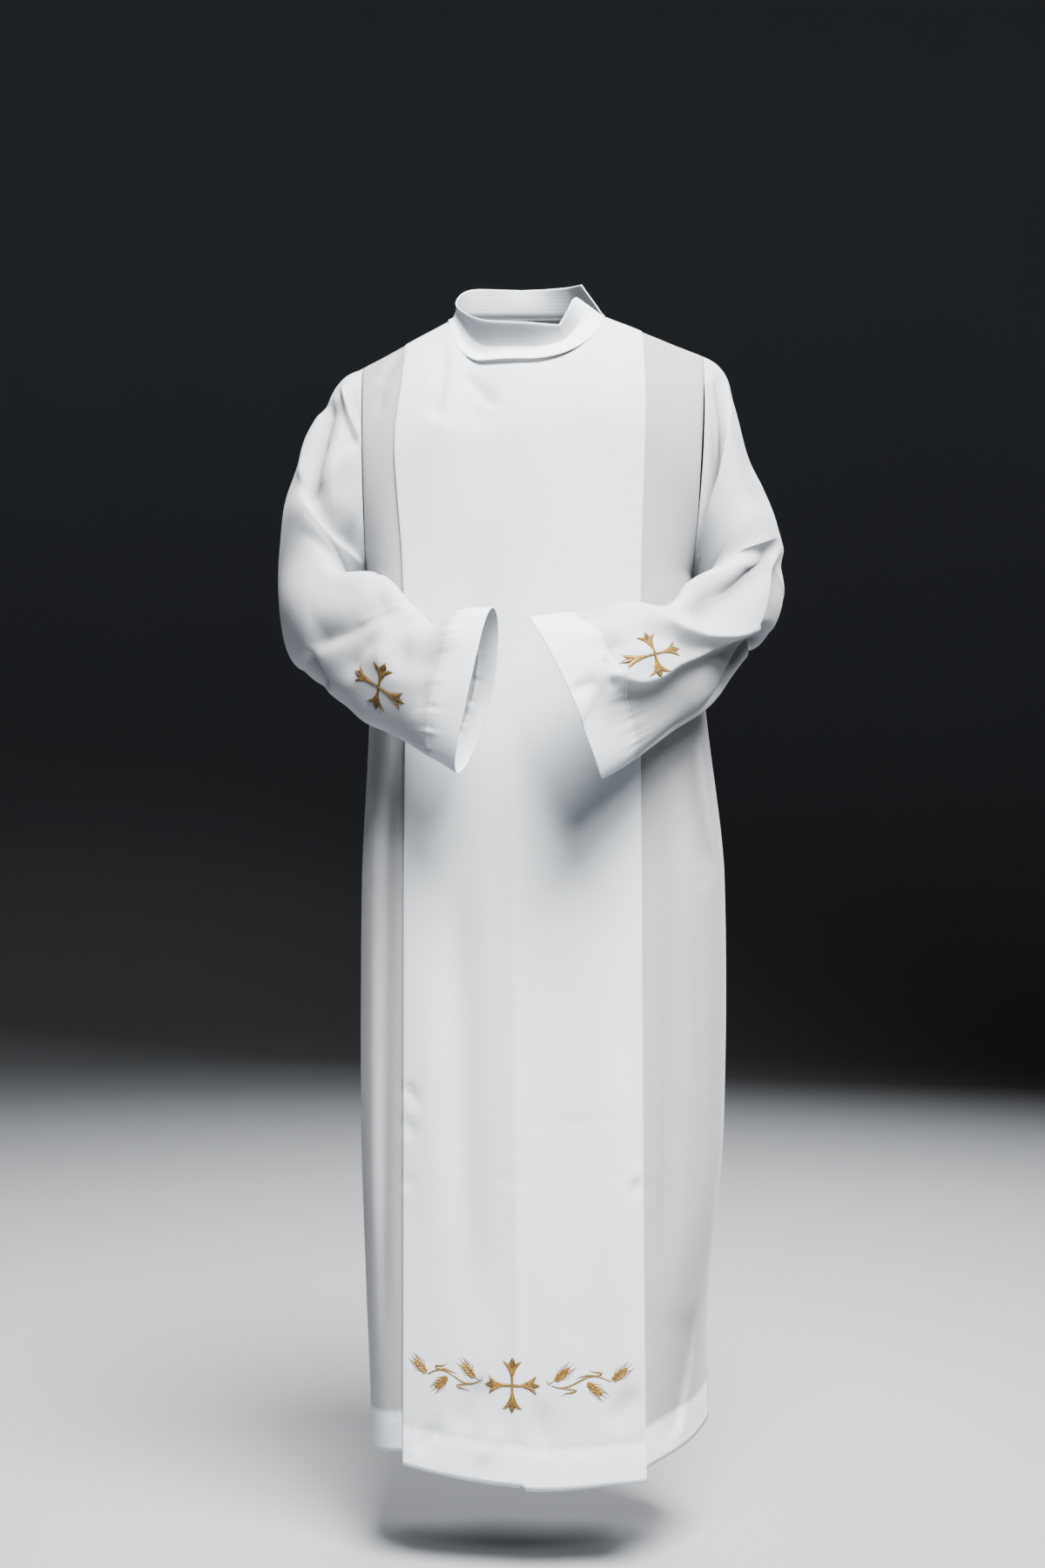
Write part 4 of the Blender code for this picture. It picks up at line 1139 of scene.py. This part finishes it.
# Embroidery, laid out flat in mm and then dropped on the cloth
embroidery = {
    "threadPitch": 0.7,         # one satin stitch to the next, mm
    "padHeight": 1.1,
    "threadHeight": 0.16,
    "across": 6,
    "leastWidth": 0.25,
    "jitter": 0.12,             # mm that a thread ends out of line
    "shadeJitter": 0.08,
    "fullWidth": 4.0,           # mm, the width from which a stroke has its whole pad
    "leastLift": 0.25,
    "sinksIn": 0.15,
    "paintedShadeFrom": 0.35,           # share of the half width from which a stroke gets painted shade, darker towards its edge
    "hemPlace": Vector((-0.0127, 0.0, -1.328)),
    "sleevePlace": {-1: Vector((-0.172, 0.0, -0.481)), 1: Vector((0.157, 0.0, -0.443))},
    "sleeveStretch": {-1: (1.40, 0.90), 1: (1.42, 0.84)},       # along the sleeve and across it
    "sleeveAlong": {-1: Vector((0.60, -0.60, -0.42)), 1: Vector((-0.64, -0.62, -0.18))},
    "spraySpread": {-1: 0.90, 1: 1.00},
    "sprayTilt": {-1: 0.04, 1: 0.0},
}
Stroke = namedtuple("Stroke", "path widths shade slant")


def resample(points, count):
    lengths = [0.0]
    for a, b in zip(points, points[1:]):
        lengths.append(lengths[-1] + (b - a).length)
    result = []
    index = 0
    for k in range(count + 1):
        target = lengths[-1] * k / count
        while index < len(points) - 2 and lengths[index + 1] < target:
            index += 1
        span = lengths[index + 1] - lengths[index] or 1e-6
        result.append(points[index].lerp(points[index + 1], (target - lengths[index]) / span))
    return result, lengths[-1]


# One padded satin stroke: rows of points across it, every second row sunk between two threads
def addStroke(bm, shadeLayer, stroke, toPlace):
    path = smoothPath([Vector(point) for point in stroke.path], 8)
    steps = max(4, int(sum((b - a).length for a, b in zip(path, path[1:])) / embroidery["threadPitch"]) * 2)
    centres, length = resample(path, steps)
    across = embroidery["across"]
    grid = bmesh.ops.create_grid(bm, x_segments=across, y_segments=steps, size=0.5)["verts"]
    grid.sort(key=lambda vert: vert.index)
    for row, centre in enumerate(centres):
        ahead = centres[min(row + 1, steps)]
        behind = centres[max(row - 1, 0)]
        along = (ahead - behind).normalized()
        side = Vector((along.y, -along.x))
        share = row / steps
        widthPlace = share * (len(stroke.widths) - 1)
        lower = min(int(widthPlace), len(stroke.widths) - 2)
        before = stroke.widths[max(lower - 1, 0)]
        after = stroke.widths[min(lower + 2, len(stroke.widths) - 1)]
        width = hermite(before, stroke.widths[lower], stroke.widths[lower + 1], after, widthPlace - lower)
        width = max(width, embroidery["leastWidth"])
        jitter = random.uniform(-embroidery["jitter"], embroidery["jitter"])
        sunk = embroidery["threadHeight"] * (1.0 if row % 2 else -1.0)
        lift = embroidery["padHeight"] * min(1.0, width / embroidery["fullWidth"]) + embroidery["leastLift"]
        for column in range(across + 1):
            s = 2.0 * column / across - 1.0
            reach = s * (width / 2.0 + (jitter if column in (0, across) else 0.0))
            dome = math.sqrt(max(0.0, 1.0 - s * s))
            vert = grid[row * (across + 1) + column]
            vert.co = toPlace(centre + side * reach + along * (stroke.slant * s * width),
                              (lift + sunk) * dome - embroidery["sinksIn"])
            # painted shade: each stroke is painted browner towards its edges, where its dome turns away from
            # the light
            edge = max(0.0, abs(s) - embroidery["paintedShadeFrom"]) / (1.0 - embroidery["paintedShadeFrom"])
            change = random.uniform(-embroidery["shadeJitter"], embroidery["shadeJitter"])
            vert[shadeLayer] = min(max(stroke.shade + change + edge, 0.0), 1.0)


# Places a flat design on a cloth: the ray from in front finds its middle, and each point drops along the
# normal there
def clothPlacer(clothPiece, middle, alongWish, stretch=(1.0, 1.0)):
    depsgraph = bpy.context.evaluated_depsgraph_get()
    tree = BVHTree.FromObject(clothPiece, depsgraph)
    origin, normal = tree.ray_cast(Vector((middle.x, -1.0, middle.z)), Vector((0, 1, 0)))[:2]
    xAxis = (alongWish - normal * alongWish.dot(normal)).normalized()
    yAxis = normal.cross(xAxis)

    def toPlace(flat, height):
        over = origin + (xAxis * flat.x * stretch[0] + yAxis * flat.y * stretch[1]) / 1000.0 + normal * 0.06
        return tree.ray_cast(over, -normal)[0] + normal * (height / 1000.0)
    return toPlace


def turned(points, degrees):
    c, s = math.cos(math.radians(degrees)), math.sin(math.radians(degrees))
    return [(x * c - y * s, x * s + y * c) for x, y in points]


# One arm of the cross: a tapered shaft, two horns that curl outwards, and a bud between them
def crossStrokes():
    strokes = []
    for quarter in range(4):
        turn = 90.0 * quarter
        shaft = ((0, 0.5), (0, 8), (0, 15), (0, 21))
        strokes.append(Stroke(turned(shaft, turn), (3.8, 3.6, 4.4, 6.4, 4.4), 0.10, 0.12))
        for hand in (-1, 1):
            horn = ((hand * 1.2, 12), (hand * 2.8, 20), (hand * 6.2, 25.5), (hand * 12.2, 29.4))
            strokes.append(Stroke(turned(horn, turn), (2.6, 5.2, 5.2, 0.6), 0.16, 0.2 * hand))
        bud = ((0, 20), (0, 27), (0, 34.5))
        strokes.append(Stroke(turned(bud, turn), (1.6, 7.4, 6.0, 0.4), 0.50, 0.1))
    return strokes


def sprayPoint(side, x, z):
    return side * embroidery["spraySpread"][side] * x, z + embroidery["sprayTilt"][side] * x


def placed(side, points):
    return [sprayPoint(side, x, z) for x, z in points]


# Wheat: a waving stem with two curled leaves, and three ears of paired grains with awns
wheatEars = ((51.0, 5.0, 44.0), (89.0, 4.0, -42.0), (118.5, 5.0, 40.0))


def wheatStrokes(side):
    strokes = []
    stem = [(42.0, 8.0), (41.8, 3.5)]
    for step in range(15):
        share = step / 14
        stem.append((43.5 + (117.5 - 43.5) * share, 4.2 - 6.7 * math.sin(math.tau * (0.05 + 0.95 * share))))

    def add(path, widths, shade, slant):
        strokes.append(Stroke(placed(side, path), widths, shade, slant))

    add(stem, (0.9, 2.0, 2.3, 2.4, 2.3, 2.2, 1.9), 0.10, 0.3)
    add(((42.4, 2.5), (46.5, 3.6), (51.0, 6.0)), (0.8, 1.6, 1.4), 0.20, 0.3)
    lowLeaf = ((54, -3.0), (64, -3.6), (75.5, -5.6), (73.5, -8.0), (63.5, -9.8), (59.0, -12.8))
    highLeaf = ((77, 8.6), (90, 12.0), (103, 11.8), (105.5, 15.2), (96, 16.4), (89.5, 20.0))
    for leaf in (lowLeaf, highLeaf):
        add(leaf, (1.0, 2.1, 2.6, 2.3, 2.7, 1.9, 0.5), 0.14, 0.3)
    for x, z, lean in wheatEars:
        c, s = math.cos(math.radians(lean)), math.sin(math.radians(lean))

        def inEar(*points):
            return [(x + along * c - aside * s, z + along * s + aside * c) for along, aside in points]

        for pair, spread in enumerate((2.4, 3.3, 3.3, 2.6, 1.5)):
            start = 1.0 + pair * 3.9
            for hand in (-1, 1):
                grain = inEar((start, hand * spread * 0.2), (start + 3.4, hand * spread),
                              (start + 7.6, hand * spread * 0.9))
                add(grain, (1.0, 3.5, 3.0, 0.5), 0.02 + 0.06 * (pair % 2), 0.2 * hand)
                awn = inEar((start + 5.5, hand * 3.8), (start + 9.5, hand * (6.2 - pair * 0.4)),
                            (start + 14.0, hand * (9.4 - pair * 0.95)))
                add(awn, (1.3, 1.2, 0.7), 0.16, 0.0)
        add(inEar((0.2, 0), (11, 0), (23.0, 0)), (1.0, 2.8, 2.4, 0.5), 0.10, 0.2)
        add(inEar((22.0, 0), (26.5, 0.2), (31.5, 0.6)), (1.3, 1.2, 0.7), 0.16, 0.0)
    return strokes


def embroider(name, strokes, toPlace, nodes):
    bm = bmesh.new()
    shadeLayer = bm.verts.layers.float.new("shade")
    for stroke in strokes:
        addStroke(bm, shadeLayer, stroke, toPlace)
    bmesh.ops.recalc_face_normals(bm, faces=bm.faces)
    return finish(newPiece(name, bm), gold, nodes)


bpy.context.view_layer.update()
onHem = clothPlacer(frontCloth, embroidery["hemPlace"], Vector((1, 0, 0)))
hemCross = embroider("hemCross", crossStrokes(), onHem, ["hem_cross"])
motifs = {"front": [hemCross], -1: [], 1: []}
for side, word in ((-1, "Right"), (1, "Left")):
    low = word.lower()
    onSleeve = clothPlacer(sleeveCloth[side], embroidery["sleevePlace"][side],
                           embroidery["sleeveAlong"][side], embroidery["sleeveStretch"][side])
    motifs[side].append(embroider("sleeveCross" + word, crossStrokes(), onSleeve, ["sleeve_cross_" + low]))
    wheatNodes = ["wheat_stem_" + low] + ["wheat_ear_%s_%d" % (low, number) for number in (1, 2, 3)]
    motifs["front"].append(embroider("wheat" + word, wheatStrokes(side), onHem, wheatNodes))
print("embroidery made")

# Studio
studio = {
    "floorZ": -1.56,
    "bowlRadius": 8.0,
    "bowlCorner": 3.0,
    "bowlHeight": 6.0,
    "cornerSteps": 12,
    "turnSteps": 72,
    "floorColour": "#7D8084",
    "worldColour": "#A9ADB2",
    "worldStrength": 0.07,
}
view = {"lens": 57.4, "sensor": 36.0, "place": (0.0, -3.2, -0.597), "tilt": 90.0}


# Floor with a coved wall all round it, as in a studio: one profile spun about the middle
def studioFloor():
    bm = bmesh.new()
    radius, corner = studio["bowlRadius"], studio["bowlCorner"]
    low = studio["floorZ"]
    profile = [bm.verts.new((radius * share, 0, low)) for share in (0.0, 0.1, 0.25, 0.45, 0.6)]
    for step in range(1, studio["cornerSteps"] + 1):
        turn = math.radians(90.0 * step / studio["cornerSteps"])
        reach = radius - corner + corner * math.sin(turn)
        profile.append(bm.verts.new((reach, 0, low + corner * (1.0 - math.cos(turn)))))
    profile.append(bm.verts.new((radius, 0, low + studio["bowlHeight"])))
    edges = [bm.edges.new(pair) for pair in zip(profile, profile[1:])]
    bmesh.ops.spin(bm, geom=profile + edges, cent=(0, 0, 0), axis=(0, 0, 1), angle=math.tau,
                   steps=studio["turnSteps"], use_merge=True)
    bmesh.ops.remove_doubles(bm, verts=bm.verts, dist=1e-5)
    bmesh.ops.recalc_face_normals(bm, faces=bm.faces)
    floor = newPiece("studioFloor", bm)
    paint = bpy.data.materials.new("matt studio floor")
    paint.use_nodes = True
    shader = paint.node_tree.nodes["Principled BSDF"]
    shader.inputs["Base Color"].default_value = linear(studio["floorColour"])
    shader.inputs["Roughness"].default_value = 0.9
    floor.data.materials.append(paint)


def aimedLight(name, kind, place, aim, power, **settings):
    data = bpy.data.lights.new(name, kind)
    data.energy = power
    for key, value in settings.items():
        setattr(data, key, value)
    light = bpy.data.objects.new(name, data)
    light.location = place
    light.rotation_euler = (Vector(aim) - Vector(place)).to_track_quat("-Z", "Y").to_euler()
    bpy.context.scene.collection.objects.link(light)


studioFloor()
# the beams of the two spots stop short of the wall
aimedLight("topLight", "SPOT", (0.9, -2.68, 3.76), (0, 0, -0.80), 11000.0,
           shadow_soft_size=1.5, spot_size=math.radians(42.0), spot_blend=0.6)
aimedLight("keyLight", "SPOT", (1.0, -3.6, 1.5), (0, 0, -0.80), 640.0,
           shadow_soft_size=0.5, spot_size=math.radians(44.0), spot_blend=0.6)
aimedLight("backLight", "AREA", (0.8, 2.8, 1.4), (0, 0, -0.6), 300.0, shape="RECTANGLE", size=2.2, size_y=2.0)
world = bpy.data.worlds.new("studioWorld")
world.use_nodes = True
background = world.node_tree.nodes["Background"].inputs
background["Color"].default_value = linear(studio["worldColour"])
background["Strength"].default_value = studio["worldStrength"]
bpy.context.scene.world = world

# Camera at the height of the waist, level
cameraData = bpy.data.cameras.new("camera")
cameraData.lens = view["lens"]
cameraData.sensor_width = view["sensor"]
camera = bpy.data.objects.new("camera", cameraData)
camera.location = view["place"]
camera.rotation_euler = (math.radians(view["tilt"]), 0.0, 0.0)
bpy.context.scene.collection.objects.link(camera)
bpy.context.scene.camera = camera
print("studio made")
